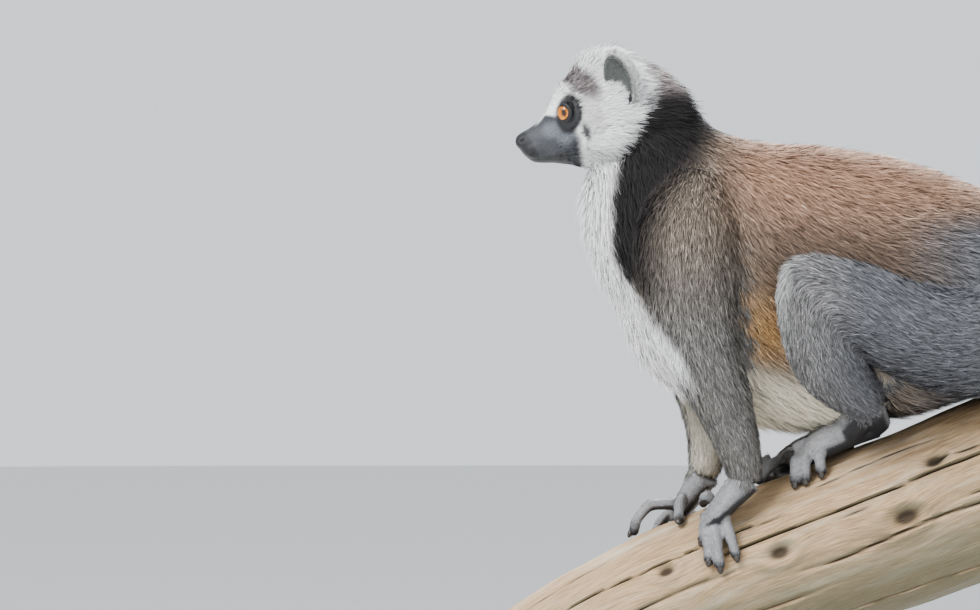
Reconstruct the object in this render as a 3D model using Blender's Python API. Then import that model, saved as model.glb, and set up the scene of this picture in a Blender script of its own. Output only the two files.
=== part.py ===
"""A ring-tailed lemur crouching on a cut length of branch, held up by a plain display stand.

Blender 4.5 script. Metres, +Z up. X runs from the nose to the rump, +Y is the animal's right side,
and the origin is the middle of the stand's underside. The flesh solids reach out to the tips of the
coat. The body is modelled as one surface and then parted with thin cuts.
"""

import math

import bmesh
import bpy
import numpy as np
from mathutils import Matrix, Vector

MM = 0.001
GAP = 0.3 * MM  # clearance between two pieces that touch
BODY_TRIANGLES = 2400
FLAT_ANGLE = math.radians(2)
SLIVER = 0.03 * MM

# The stand: a board and two rods with round feet, all mm.
BOARD_SIZE = (480, 260, 22)
BOARD_CORNER = 18
BOARD_EDGE = 3
ROD_RADIUS = 7
ROD_FOOT_RADIUS = 17
ROD_FOOT_HEIGHT = 6
ROD_DEPTH_IN_BRANCH = 22
ROD_X = {"front": -172, "back": 152}

# The branch: a straight taper that dips more steeply at its lower end, mm.
BRANCH_X = (-212, 218)
BRANCH_HEIGHT = 303
BRANCH_SLOPE = 0.375
BRANCH_RADIUS = 55
BRANCH_TAPER = 0.03
BRANCH_DIP_FROM_X = -100
BRANCH_DIP = 0.0014

# The head frame: its origin is the nose tip and its first axis runs back and up to the nape.
NOSE_TIP = Vector((-217.8, 0, 567.6)) * MM
HEAD_TILT = math.radians(17)
HEAD_YAW = math.radians(5)
HEAD_PIVOT = 88 * MM
EYE_RADIUS = 7.6
EYE_PLACE = (37.6, 16.4, 7.4)  # along the head, to the side and up, mm
EYE_AXIS = (-0.79, 0.61, 0.05)
EYE_OPENING = 6.4  # radius of the round opening between the lids
EYE_OPENING_AHEAD = 9
EAR_PLACE = (74.5, 35.0, 17.0)
EAR_SIZE = (8.0, 12.5, 21.0)  # half depth, half width and half height
EAR_LEAN = 30  # degrees outward
EAR_TURN = 40  # degrees that the opening turns from straight ahead to the side

# Colours of the coat, the bare skin, the wood and the stand (linear RGB).
WHITE_COAT = (0.78, 0.76, 0.72)
GREY_COAT = (0.24, 0.22, 0.21)
BROWN_COAT = (0.30, 0.21, 0.16)
BLACK_COAT = (0.02, 0.02, 0.022)
AMBER = (0.62, 0.25, 0.02)
CLAW = (0.03, 0.028, 0.026)
WOOD = (0.42, 0.28, 0.16)
PAINT = (0.06, 0.06, 0.065)
STEEL = (0.55, 0.55, 0.56)

SIDES = {"left": -1, "right": 1}


# ---------------------------------------------------------------- meshes
def finished(bm):
    mesh = bpy.data.meshes.new("mesh")
    bmesh.ops.recalc_face_normals(bm, faces=bm.faces)
    bm.to_mesh(mesh)
    bm.free()
    return mesh


def as_object(name, mesh):
    obj = bpy.data.objects.new(name, mesh)
    bpy.context.scene.collection.objects.link(obj)
    return obj


def moved(mesh, matrix):
    mesh.transform(matrix)
    return mesh


def joined(meshes):
    bm = bmesh.new()
    for mesh in meshes:
        bm.from_mesh(mesh)
    return finished(bm)


def smooth_rows(rows, steps):
    """Catmull-Rom rows through the given rows of numbers, with this many steps to a span."""
    rows = [np.array(row, float) for row in rows]
    last = len(rows) - 1
    made = []
    for i in range(last):
        before, start, end, after = (rows[min(max(k, 0), last)] for k in (i - 1, i, i + 1, i + 2))
        for t in np.arange(steps) / steps:
            curve = (2 * start, end - before, 2 * before - 5 * start + 4 * end - after)
            cubic = 3 * start - before - 3 * end + after
            made.append(0.5 * (curve[0] + curve[1] * t + curve[2] * t**2 + cubic * t**3))
    return [*made, rows[last]]


def ring_matrix(centre, side, up):
    """The matrix that takes a unit circle to a ring with these two half axes."""
    along = side.cross(up).normalized()
    matrix = Matrix((side, up, along)).transposed().to_4x4()
    matrix.translation = centre
    return matrix


def extruded(matrices, segments):
    """A closed mesh of one circle extruded from ring to ring."""
    bm = bmesh.new()
    bmesh.ops.create_circle(bm, cap_ends=True, segments=segments, radius=1, matrix=matrices[0])
    top = bm.faces[:][0]
    inner = []
    for before, after in zip(matrices, matrices[1:]):
        new = bmesh.ops.extrude_face_region(bm, geom=[top])["geom"]
        verts = [item for item in new if isinstance(item, bmesh.types.BMVert)]
        top = next(item for item in new if isinstance(item, bmesh.types.BMFace))
        bmesh.ops.transform(bm, matrix=after @ before.inverted(), verts=verts)
        inner.append(top)
    bmesh.ops.delete(bm, geom=inner[:-1], context="FACES_ONLY")
    return finished(bm)


def tube(rows, steps=3, segments=16, grow=0.0):
    """A tube through balls. Each row is x, y, z and radius, or half width and half height, in mm."""
    rows = smooth_rows([row if len(row) == 5 else (*row, row[3]) for row in rows], steps)
    centres = [Vector(row[:3]) * MM for row in rows]
    side = Vector((0, 1, 0))
    matrices = []
    for i, row in enumerate(rows):
        along = (centres[min(i + 1, len(rows) - 1)] - centres[max(i - 1, 0)]).normalized()
        side = (side - along * side.dot(along)).normalized()
        half_width, half_height = (max(size, 0.3) * MM + grow for size in row[3:5])
        matrices.append(ring_matrix(centres[i], side * half_width, along.cross(side) * half_height))
    return extruded(matrices, segments)


def profile(rows, steps=3, segments=24):
    """A tube through a side view. Each row is the top's x and z, the underside's x and z and the
    half width, in mm."""
    matrices = []
    for top_x, top_z, under_x, under_z, width in smooth_rows(rows, steps):
        top, under = Vector((top_x, 0, top_z)) * MM, Vector((under_x, 0, under_z)) * MM
        matrices.append(ring_matrix((top + under) / 2, Vector((0, width * MM, 0)), (top - under) / 2))
    return extruded(matrices, segments)


def ball(centre, radii, matrix=None, grow=0.0, segments=20, rings=14):
    """An ellipsoid with its centre and its three half sizes in mm."""
    place = (matrix or Matrix.Identity(4)) @ Matrix.Translation(Vector(centre) * MM)
    sizes = [radius * MM + grow for radius in radii]
    bm = bmesh.new()
    bmesh.ops.create_uvsphere(
        bm, u_segments=segments, v_segments=rings, radius=1, matrix=place @ Matrix.Diagonal((*sizes, 1))
    )
    return finished(bm)


def evaluated(obj):
    """The object's mesh with its modifiers applied. The object is removed."""
    graph = bpy.context.evaluated_depsgraph_get()
    mesh = bpy.data.meshes.new_from_object(obj.evaluated_get(graph))
    bpy.data.objects.remove(obj)
    return mesh


def fused(meshes, voxel, rounds, triangles=None):
    """One closed surface round all the meshes, with its creases rounded off."""
    obj = as_object("fused", joined(meshes))
    remesh = obj.modifiers.new("Remesh", "REMESH")
    remesh.mode = "VOXEL"
    remesh.voxel_size = voxel
    smooth = obj.modifiers.new("Smooth", "SMOOTH")
    smooth.factor = 0.5
    smooth.iterations = rounds
    mesh = evaluated(obj)
    if triangles:
        obj = as_object("fused", mesh)
        decimate = obj.modifiers.new("Decimate", "DECIMATE")
        decimate.ratio = triangles / (2 * len(mesh.polygons))
        mesh = evaluated(obj)
    return mesh


def grown(mesh, distance):
    """The mesh with its surface moved outward."""
    obj = as_object("grown", mesh.copy())
    displace = obj.modifiers.new("Displace", "DISPLACE")
    displace.strength = distance
    displace.mid_level = 0
    return evaluated(obj)


def boolean(mesh, cutter, operation):
    """The mesh without, or inside, the cutter."""
    obj = as_object("cut", mesh.copy())
    tool = as_object("cutter", cutter)
    modifier = obj.modifiers.new("Boolean", "BOOLEAN")
    modifier.operation = operation
    modifier.object = tool
    made = evaluated(obj)
    bpy.data.objects.remove(tool)
    return made


def bodies(mesh, smallest=10):
    """The separate bodies of a mesh, without the crumbs that a cut leaves."""
    bm = bmesh.new()
    bm.from_mesh(mesh)
    left = set(bm.verts)
    found = []
    while left:
        front = [left.pop()]
        body = set(front)
        while front:
            links = {edge.other_vert(vert) for vert in front for edge in vert.link_edges} & left
            left -= links
            body |= links
            front = list(links)
        if len(body) >= smallest:
            found.append({vert.index for vert in body})
    bm.free()
    return [part_of(mesh, body) for body in found]


def part_of(mesh, kept):
    bm = bmesh.new()
    bm.from_mesh(mesh)
    bmesh.ops.delete(bm, geom=[vert for vert in bm.verts if vert.index not in kept], context="VERTS")
    return finished(bm)


def largest(mesh):
    return max(bodies(mesh), key=lambda body: len(body.vertices))


def nearest(meshes, place):
    """The mesh that comes closest to a place given in mm."""
    place = Vector(place) * MM
    return min(meshes, key=lambda mesh: min((vert.co - place).length for vert in mesh.vertices))


def halves(mesh, point, normal):
    """The two closed pieces of the mesh, behind and ahead of a plane, with the gap between them."""
    pieces = []
    for direction in (1, -1):
        bm = bmesh.new()
        bm.from_mesh(mesh)
        bmesh.ops.bisect_plane(
            bm,
            geom=[*bm.verts, *bm.edges, *bm.faces],
            plane_co=point - normal * (GAP / 2 * direction),
            plane_no=normal * direction,
            clear_outer=True,
        )
        rim = [edge for edge in bm.edges if edge.is_boundary]
        bmesh.ops.contextual_create(bm, geom=rim)
        bmesh.ops.triangulate(bm, faces=bm.faces)
        pieces.append(largest(finished(bm)))
    return pieces


def plane_through(top, under):
    """The middle and the backward normal of a plane seen edge on from the side, through two points."""
    top, under = Vector((top[0], 0, top[1])) * MM, Vector((under[0], 0, under[1])) * MM
    return (top + under) / 2, Vector((0, 1, 0)).cross((top - under).normalized())


def disc(point, normal, radius):
    """A thin round blade that leaves the gap where it cuts."""
    place = Matrix.Translation(point) @ normal.to_track_quat("Z", "Y").to_matrix().to_4x4()
    bm = bmesh.new()
    bmesh.ops.create_cone(
        bm, cap_ends=True, segments=16, radius1=radius * MM, radius2=radius * MM, depth=GAP, matrix=place
    )
    return finished(bm)


def rod(centre, radius, low, high):
    """An upright cylinder between two heights, all mm."""
    place = Matrix.Translation(Vector((centre[0], centre[1], (low + high) / 2)) * MM)
    bm = bmesh.new()
    bmesh.ops.create_cone(
        bm,
        cap_ends=True,
        segments=18,
        radius1=radius * MM,
        radius2=radius * MM,
        depth=(high - low) * MM,
        matrix=place,
    )
    return finished(bm)


def material(name, colour, roughness, metallic=0.0):
    made = bpy.data.materials.get(name)
    if made is None:
        made = bpy.data.materials.new(name)
        made.use_nodes = True
        shader = made.node_tree.nodes["Principled BSDF"]
        shader.inputs["Base Color"].default_value = (*colour, 1)
        shader.inputs["Roughness"].default_value = roughness
        shader.inputs["Metallic"].default_value = metallic
    return made


def merged_flats(mesh):
    """The mesh with its nearly flat neighbouring faces merged and its slivers gone."""
    bm = bmesh.new()
    bm.from_mesh(mesh)
    bmesh.ops.dissolve_degenerate(bm, dist=SLIVER, edges=bm.edges)
    bmesh.ops.dissolve_limit(bm, angle_limit=FLAT_ANGLE, verts=bm.verts, edges=bm.edges)
    bmesh.ops.triangulate(bm, faces=bm.faces)
    return finished(bm)


def node(name, mesh, finish, smooth_angle=40):
    """A finished sub-part: its object carries the node's name."""
    mesh.name = name
    mesh.materials.clear()
    mesh.materials.append(finish)
    mesh.shade_smooth()
    mesh.set_sharp_from_angle(angle=math.radians(smooth_angle))
    return as_object(name, mesh)


# ---------------------------------------------------------------- the branch and places on it
def branch_axis(x):
    """The axis point at this x, the upward direction across the axis there and the radius, mm."""
    dip = max(0.0, BRANCH_DIP_FROM_X - x)
    height = BRANCH_HEIGHT + BRANCH_SLOPE * x - BRANCH_DIP * dip**2
    slope = BRANCH_SLOPE + 2 * BRANCH_DIP * dip
    return Vector((x, 0, height)), Vector((-slope, 0, 1)).normalized(), BRANCH_RADIUS + BRANCH_TAPER * x


def on_branch(x, angle, height):
    """The place this high over the bark at axis position x. The angle runs from the top towards the
    animal's right side, in degrees."""
    centre, up, radius = branch_axis(x)
    turn = math.radians(angle)
    return centre + (up * math.cos(turn) + Vector((0, math.sin(turn), 0))) * (radius + height)


def branch_form(grow=0.0, steps=9, segments=18):
    matrices = []
    for share in np.linspace(0, 1, steps + 1):
        centre, up, radius = branch_axis(BRANCH_X[0] + share * (BRANCH_X[1] - BRANCH_X[0]))
        swell = 0.9 * math.sin(19 * share) + 0.7 * math.sin(41 * share + 1)
        side = Vector((0, (radius + swell) * MM + grow, 0))
        matrices.append(ring_matrix(centre * MM, side, up * ((radius - 0.4 * swell) * MM + grow)))
    return extruded(matrices, segments)


# ---------------------------------------------------------------- the head
def head_frame():
    back = Vector((math.cos(HEAD_TILT), 0, math.sin(HEAD_TILT))) * HEAD_PIVOT
    pivot = Matrix.Translation(NOSE_TIP + back)
    turn = pivot @ Matrix.Rotation(HEAD_YAW, 4, "Z") @ pivot.inverted()
    return turn @ Matrix.Translation(NOSE_TIP) @ Matrix.Rotation(-HEAD_TILT, 4, "Y")


# From the nose tip back: distance, top, underside and half width, mm.
HEAD_PROFILE = (
    (0.4, 0.8, -5.0, 3.6),
    (2.4, 2.6, -11.0, 6.6),
    (6.5, 4.2, -17.5, 8.8),
    (12.0, 5.8, -20.5, 10.2),
    (18.0, 8.6, -22.5, 12.2),
    (24.0, 13.2, -25.0, 15.5),
    (29.0, 20.0, -27.5, 19.5),
    (34.0, 26.6, -31.0, 24.0),
    (40.0, 31.4, -35.0, 28.0),
    (48.0, 37.0, -38.0, 32.5),
    (56.0, 43.0, -40.0, 36.5),
    (65.0, 45.4, -42.0, 39.0),
    (76.0, 43.0, -43.0, 39.5),
    (88.0, 35.0, -44.0, 38.0),
    (100.0, 26.5, -44.0, 36.0),
    (112.0, 11.0, -36.0, 26.0),
)


def head_forms(frame):
    rows = [(s, top, s, under, width) for s, top, under, width in HEAD_PROFILE]
    forms = [moved(profile(rows, steps=2), frame)]
    for side in SIDES.values():
        forms.append(ball((40, side * 17, 15), (9, 6, 6), frame))  # brow over the eye
        forms.append(ball((58, side * 22, -16), (22, 17, 17), frame))  # cheek
        forms.append(ball((12, side * 5.6, -10.5), (9, 5.4, 7), frame))  # upper lip
    return forms


def eye_form(frame, side, grow=0.0):
    along, aside, up = EYE_PLACE
    return ball((along, side * aside, up), [EYE_RADIUS] * 3, frame, grow, segments=12, rings=8)


def eye_opening(frame, side):
    along, aside, up = (a + b * EYE_OPENING_AHEAD for a, b in zip(EYE_PLACE, EYE_AXIS))
    return ball((along, side * aside, up), [EYE_OPENING] * 3, frame, segments=12, rings=8)


def ear_frame(frame, side):
    """The ear's frame: its opening looks along the first axis and its tip points along the third."""
    along, aside, up = EAR_PLACE
    place = Matrix.Translation(Vector((along, side * aside, up)) * MM)
    lean = Matrix.Rotation(math.radians(-side * EAR_LEAN), 4, "X")
    turn = Matrix.Rotation(math.radians(180 - side * EAR_TURN), 4, "Z")
    return frame @ place @ lean @ turn


def ear_shell(frame, side, grow=0.0):
    return ball((0, 0, 0), EAR_SIZE, ear_frame(frame, side), grow, segments=12, rings=8)


def ear_hollow(frame, side):
    depth, width, height = EAR_SIZE
    return ball((depth, 0, 1), (depth * 1.25, width - 2.6, height - 3.5), ear_frame(frame, side), segments=12, rings=8)


# ---------------------------------------------------------------- the trunk, limbs and tail
# The neck and trunk from the side: top x, z, underside x, z and half width, mm.
TRUNK = (
    (-128, 620, -174, 550, 33),
    (-105, 602, -175, 534, 36),
    (-87, 581, -176, 512, 41),
    (-64, 571, -168, 481, 47),
    (-38, 567, -152, 452, 53),
    (-12, 566, -138, 420, 58),
    (14, 563, -104, 393, 61),
    (44, 557, -44, 373, 63),
    (84, 542, 24, 380, 65),
    (122, 520, 84, 396, 61),
    (152, 493, 132, 416, 46),
    (172, 466, 162, 442, 22),
)

# Limbs from the trunk out: x, distance from the middle plane, z and radius, mm.
UPPER_ARM = {
    "left": ((-98, 25, 545, 22), (-104, 34, 512, 40), (-103, 44, 470, 36), (-95, 49, 428, 28), (-84, 50, 399, 23)),
    "right": ((-100, 25, 545, 22), (-106, 34, 512, 40), (-105, 44, 470, 35), (-99, 47, 428, 26), (-92, 43, 396, 19.5)),
}
FOREARM = {
    "left": ((-84, 50, 399, 23), (-73, 46, 368, 17.2), (-67, 40, 345, 12.8)),
    "right": ((-92, 43, 396, 19.5), (-90, 31, 369, 15.2), (-92, 19, 346, 12.2)),
}
THIGH = {
    "left": ((142, 24, 450, 22), (104, 37, 440, 45), (70, 52, 436, 41), (36, 66, 443, 36), (4, 76, 459, 31), (-30, 80, 472, 25)),
    "right": ((142, 24, 450, 22), (104, 37, 440, 45), (66, 52, 435, 41), (30, 66, 441, 36), (-4, 76, 456, 31), (-38, 80, 468, 25)),
}
SHANK = {
    "left": ((-30, 80, 472, 25), (-25, 77, 446, 27), (-15, 66, 421, 26), (2, 50, 403, 20), (12, 36, 393, 13)),
    "right": ((-38, 80, 468, 25), (-34, 78, 442, 27), (-25, 68, 417, 26), (-10, 54, 399, 20), (0, 42, 389, 13)),
}
TAIL = (
    (132, 0, 450, 27),
    (158, -8, 458, 25),
    (180, -30, 464, 25),
    (196, -66, 450, 25),
    (203, -93, 405, 26),
    (206, -101, 335, 27),
    (201, -99, 262, 27),
    (189, -95, 190, 27),
    (166, -92, 125, 27),
    (130, -90, 81, 26),
    (92, -88, 66, 24),
    (62, -86, 76, 19),
    (52, -85, 88, 9),
)
TAIL_LENGTHS = 5
TAIL_START = 0.19  # where the first length begins, as a share of the middle line


def limb_rows(points, side):
    return [(x, side * y, z, radius) for x, y, z, radius in points]


# Fingers and toes: the root and the tip as x and angle on the branch, and the height of the arch.
FINGERS = {
    "left": {
        "thumb": ((-70, -22), (-74, -4), 8),
        "index": ((-75, -38), (-83, -50), 8),
        "middle": ((-76, -42), (-84, -66), 8),
        "ring": ((-72, -43), (-79, -73), 10),
        "little": ((-66, -45), (-67.5, -70), 9),
    },
    "right": {
        "thumb": ((-85, 8), (-92, -22), 8),
        "index": ((-90, 14), (-118, 8), 16),
        "middle": ((-90, 24), (-112, 42), 11),
        "ring": ((-87, 32), (-104, 62), 10),
        "little": ((-82, 36), (-91, 70), 9),
    },
}
TOES = {
    "left": {
        "great": ((8, -6), (-2, 8), 8),
        "third": ((-7, -16), (-17, -32), 13),
        "fourth": ((-2, -18), (-10.5, -33), 13),
        "fifth": ((5, -19), (0, -32), 11),
    },
    "right": {
        "great": ((-18, 14), (-37, -2), 9),
        "third": ((-26, 26), (-36, 38), 11),
        "fourth": ((-21, 29), (-30, 47), 11),
        "fifth": ((-14, 31), (-21, 52), 10),
    },
}
CLAW_TOE = {"left": ((-2, -14), (-10, -14)), "right": ((-24, 22), (-33, 22))}
CLAW_TOE_HEIGHT = 17
HEEL = {"left": (44, -14), "right": (28, 27)}
BALL_OF_FOOT = {"left": (0, -16), "right": (-16, 25)}
PAD_HEIGHT = 3.6


def digit(root, tip, arch, radius):
    """A finger or toe that bends over an arch and rests its tip on the bark."""
    rows = []
    for share, height, girth in ((0, 11, 1.2), (0.5, arch, 1.0), (0.82, 0.7 * arch, 0.95), (1, PAD_HEIGHT, 0.93)):
        x, angle = np.array(root) + share * (np.array(tip) - np.array(root))
        rows.append((*on_branch(x, angle, height), radius * girth))
    return tube(capped(rows), steps=2, segments=10)


def capped(rows):
    """The rows with a rounded end added past the last one."""
    last, before = np.array(rows[-1], float), np.array(rows[-2], float)
    along = (last[:3] - before[:3]) / np.linalg.norm(last[:3] - before[:3])
    tip = last.copy()
    tip[:3] += along * last[3] * 0.75
    tip[3:] *= 0.35
    return [*rows, tuple(tip)]


def hand_forms(name):
    wrist = np.array(limb_rows(FOREARM[name], SIDES[name])[-1])
    roots = [on_branch(*root, 11) for digit_name, (root, _, _) in FINGERS[name].items() if digit_name != "thumb"]
    knuckles = np.mean(roots, axis=0)
    palm = [(*wrist[:3], 12.5, 12.5), (*(0.45 * wrist[:3] + 0.55 * knuckles), 14.5, 9.5), (*knuckles, 15, 7.5)]
    return [tube(capped(palm), steps=2, segments=14)] + [
        digit(root, tip, arch, 4.3) for root, tip, arch in FINGERS[name].values()
    ]


def foot_forms(name):
    ankle = np.array(limb_rows(SHANK[name], SIDES[name])[-1])
    heel, ball_of_foot = on_branch(*HEEL[name], 10), on_branch(*BALL_OF_FOOT[name], 12)
    middle = (heel + ball_of_foot) / 2 + Vector((0, 0, 4))
    sole = [(*heel, 8, 9), (*middle, 12, 12), (*ball_of_foot, 14.5, 10)]
    claw_root, claw_tip = (on_branch(*place, CLAW_TOE_HEIGHT) for place in CLAW_TOE[name])
    return [
        tube(capped(sole), steps=2, segments=14),
        tube([tuple(ankle), (*middle, 12)], steps=3, segments=12),
        tube([tuple(ankle), (*heel, 9)], steps=3, segments=12),
        tube(capped([(*claw_root, 5), (*claw_tip, 4)]), steps=2, segments=10),
    ] + [digit(root, tip, arch, 4.6) for root, tip, arch in TOES[name].values()]


def whole_body(frame):
    """The whole animal as one surface, standing clear of the branch, the eyes and the ears."""
    bulk = [profile(TRUNK, segments=28), tube(TAIL, steps=4)]
    for name, side in SIDES.items():
        for limb in (UPPER_ARM, FOREARM, THIGH, SHANK):
            bulk.append(tube(limb_rows(limb[name], side), segments=18))
        bulk.append(ball((SHANK[name][0][0], side * SHANK[name][0][1], SHANK[name][0][2]), (25, 25, 25)))
    bulk = fused(bulk, voxel=3.5 * MM, rounds=8)
    fine = [bulk, *head_forms(frame)]
    for name in SIDES:
        fine += hand_forms(name) + foot_forms(name)
    body = fused(fine, voxel=1.8 * MM, rounds=3, triangles=BODY_TRIANGLES)
    return boolean(body, branch_form(1.5 * GAP), "DIFFERENCE")


# ---------------------------------------------------------------- parting
# Cuts through the trunk from the head back: the top's and the underside's x and z, mm.
TRUNK_CUTS = (
    ("head", (-104, 606), (-182, 534)),
    ("neck", (-70, 575), (-178, 492)),
    ("chest", (-22, 570), (-42, 366)),
    ("abdomen", (78, 550), (84, 380)),
)
LIMB_MARGIN = 2.5  # how far a limb's cutting volume reaches past its own form, mm
MIDDLE_WALL = 9  # half the width that stays with the trunk between two limbs, mm
HIP_X = 60
SHOULDER_Z = 480


def limb_volume(name, segments):
    """The space that parts a limb from the trunk."""
    forms = []
    for points in segments:
        rows = []
        for x, y, z, radius in points[name]:
            at_root = x > HIP_X or z > SHOULDER_Z
            rows.append((x, SIDES[name] * (max(y, radius + MIDDLE_WALL) if at_root else y), z, radius))
        forms.append(tube(rows, segments=20, grow=LIMB_MARGIN * MM))
    x, y, z, radius = segments[0][name][-1]
    forms.append(ball((x, SIDES[name] * y, z), [radius] * 3, grow=LIMB_MARGIN * MM))
    return fused(forms, voxel=3 * MM, rounds=2, triangles=150)


def bend_cut(limb, name, upper, lower):
    """The upper and the lower piece of a limb, parted at its bend."""
    side = SIDES[name]
    ends = [Vector((x, side * y, z)) for x, y, z, _ in (upper[name][-2], upper[name][-1], lower[name][1])]
    normal = (ends[0] - ends[1]).normalized() - (ends[2] - ends[1]).normalized()
    lower_piece, upper_piece = halves(limb, ends[1] * MM, normal.normalized())
    return upper_piece, lower_piece


def tail_cuts():
    rows = [np.array(row[:3]) for row in smooth_rows([(*row, 0) for row in TAIL], 6)]
    steps = np.linspace(TAIL_START, 1, TAIL_LENGTHS + 1)[:-1] * (len(rows) - 1)
    return [(Vector(rows[int(i)]) * MM, Vector(rows[int(i) + 1] - rows[int(i) - 1]).normalized()) for i in steps]


def claw_form(name, grow=0.0):
    """The upright hooked claw of the second toe."""
    x, angle = CLAW_TOE[name][1]
    rows = []
    for ahead, height, radius in ((1, 0, 2.4), (-4, 1.5, 2.2), (-8, 0.5, 1.5), (-11, -3, 0.6)):
        rows.append((*on_branch(x + ahead, angle, CLAW_TOE_HEIGHT + height), radius))
    return tube(rows, steps=1, segments=6, grow=grow)


def trunk_pieces(trunk):
    pieces = {}
    for name, top, under in TRUNK_CUTS:
        point, normal = plane_through(top, under)
        pieces[name], trunk = halves(trunk, point, normal)
    return {**pieces, "rump": trunk}


def taken(body, volume):
    """The piece of the body inside a volume, and the body without it."""
    piece = largest(boolean(body, volume.copy(), "INTERSECT"))
    return piece, boolean(body, grown(volume, 1.5 * GAP), "DIFFERENCE")


def parted(body, frame):
    """The named pieces of the animal's body."""
    pieces = {}
    for name in SIDES:
        for end, forms in (("hand", hand_forms(name)), ("foot", foot_forms(name))):
            volume = grown(fused(forms, voxel=2.5 * MM, rounds=5, triangles=260), LIMB_MARGIN * MM)
            pieces[f"{end}_{name}"], body = taken(body, volume)
        pieces[f"foot_{name}"] = boolean(pieces[f"foot_{name}"], claw_form(name, GAP), "DIFFERENCE")
    for name in SIDES:
        for names, upper, lower in (
            (("upper_arm", "forearm"), UPPER_ARM, FOREARM),
            (("thigh", "shank"), THIGH, SHANK),
        ):
            limb, body = taken(body, limb_volume(name, (upper, lower)))
            pieces[f"{names[0]}_{name}"], pieces[f"{names[1]}_{name}"] = bend_cut(limb, name, upper, lower)
    for point, along in tail_cuts():
        body = boolean(body, disc(point, along, 38), "DIFFERENCE")
    loose = bodies(body)
    tail = smooth_rows(TAIL, 6)
    for count in range(TAIL_LENGTHS):
        share = TAIL_START + (1 - TAIL_START) * (count + 0.5) / TAIL_LENGTHS
        x, y, z, radius = tail[int(share * (len(tail) - 1))]
        pieces[f"tail_{count + 1}"] = nearest(loose, (x, y, z + radius))
    pieces.update(trunk_pieces(max(loose, key=lambda mesh: len(mesh.vertices))))
    for side in SIDES.values():
        for form in (eye_form(frame, side, GAP), eye_opening(frame, side), ear_shell(frame, side, GAP)):
            pieces["head"] = boolean(pieces["head"], form, "DIFFERENCE")
    return {name: merged_flats(piece) for name, piece in pieces.items()}


# ---------------------------------------------------------------- the stand
def board():
    length, width, thickness = BOARD_SIZE
    bm = bmesh.new()
    bmesh.ops.create_cube(
        bm,
        size=1,
        matrix=Matrix.Translation((0, 0, thickness / 2 * MM)) @ Matrix.Diagonal((*(Vector(BOARD_SIZE) * MM), 1)),
    )
    upright = [edge for edge in bm.edges if abs(edge.verts[0].co.z - edge.verts[1].co.z) > MM]
    bmesh.ops.bevel(bm, geom=upright, offset=BOARD_CORNER * MM, segments=5, profile=0.5, affect="EDGES")
    rim = [edge for edge in bm.edges if all(vert.co.z > (thickness - 0.1) * MM for vert in edge.verts)]
    bmesh.ops.bevel(bm, geom=rim, offset=BOARD_EDGE * MM, segments=2, profile=0.5, affect="EDGES")
    return finished(bm)


def stand(branch):
    """The board, the two rods and the branch with its sockets."""
    thickness = BOARD_SIZE[2]
    gap = GAP / MM
    for name, x in ROD_X.items():
        centre, _, radius = branch_axis(x)
        top = centre.z - radius + ROD_DEPTH_IN_BRANCH
        steel = boolean(
            rod((x, 0), ROD_RADIUS, thickness + gap, top),
            rod((x, 0), ROD_FOOT_RADIUS, thickness + gap, thickness + gap + ROD_FOOT_HEIGHT),
            "UNION",
        )
        node(f"stand_rod_{name}", steel, material("steel", STEEL, 0.3, 1))
        branch = boolean(branch, rod((x, 0), ROD_RADIUS + gap, 100, top + gap), "DIFFERENCE")
    node("stand_base", board(), material("paint", PAINT, 0.5))
    node("stand_perch", branch, material("wood", WOOD, 0.7))


FINISHES = {
    "head": ("coat_white", WHITE_COAT),
    "neck": ("coat_grey", GREY_COAT),
    "chest": ("coat_brown", BROWN_COAT),
    "abdomen": ("coat_brown", BROWN_COAT),
    "tail_5": ("coat_black", BLACK_COAT),
}


def main():
    for obj in list(bpy.data.objects):
        bpy.data.objects.remove(obj)
    frame = head_frame()
    body = whole_body(frame)
    for name, piece in parted(body, frame).items():
        finish, colour = FINISHES.get(name, ("coat_grey", GREY_COAT))
        node(name, piece, material(finish, colour, 0.9))
    for name, side in SIDES.items():
        shell = boolean(ear_shell(frame, side), ear_hollow(frame, side), "DIFFERENCE")
        node(f"ear_{name}", shell, material("coat_white", WHITE_COAT, 0.9))
        node(f"eye_{name}", eye_form(frame, side), material("eye", AMBER, 0.1))
        node(f"claw_{name}", claw_form(name), material("claw", CLAW, 0.35))
    stand(branch_form())


main()
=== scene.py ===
"""Looks of a ring-tailed lemur on a cut branch and a display stand. Blender 4.5, metres, +Z up.

X runs from the nose to the rump and +Y is the animal's right side. The file follows the model as it is
put together: room, stand, skin, eyes, claws, markings and coat.
"""

import math

import bmesh
import bpy
import numpy as np
from mathutils import Matrix, Vector, noise
from mathutils.bvhtree import BVHTree
from mathutils.kdtree import KDTree


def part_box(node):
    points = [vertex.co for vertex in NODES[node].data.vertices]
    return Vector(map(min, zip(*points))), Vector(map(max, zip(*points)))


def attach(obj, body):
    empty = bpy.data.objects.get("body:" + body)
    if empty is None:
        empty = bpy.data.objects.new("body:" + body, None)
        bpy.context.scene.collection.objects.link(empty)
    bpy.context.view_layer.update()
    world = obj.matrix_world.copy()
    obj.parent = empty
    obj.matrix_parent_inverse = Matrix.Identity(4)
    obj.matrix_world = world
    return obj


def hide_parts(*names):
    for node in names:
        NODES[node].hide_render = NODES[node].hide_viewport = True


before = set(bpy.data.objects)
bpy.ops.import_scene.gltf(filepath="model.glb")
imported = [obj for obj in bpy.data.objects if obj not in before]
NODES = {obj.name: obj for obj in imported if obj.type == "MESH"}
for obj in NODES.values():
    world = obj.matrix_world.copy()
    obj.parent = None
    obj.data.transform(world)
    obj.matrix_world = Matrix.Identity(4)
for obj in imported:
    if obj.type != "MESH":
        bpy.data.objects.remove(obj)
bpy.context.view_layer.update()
MM = 0.001
SIDES = {"left": -1, "right": 1}


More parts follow.
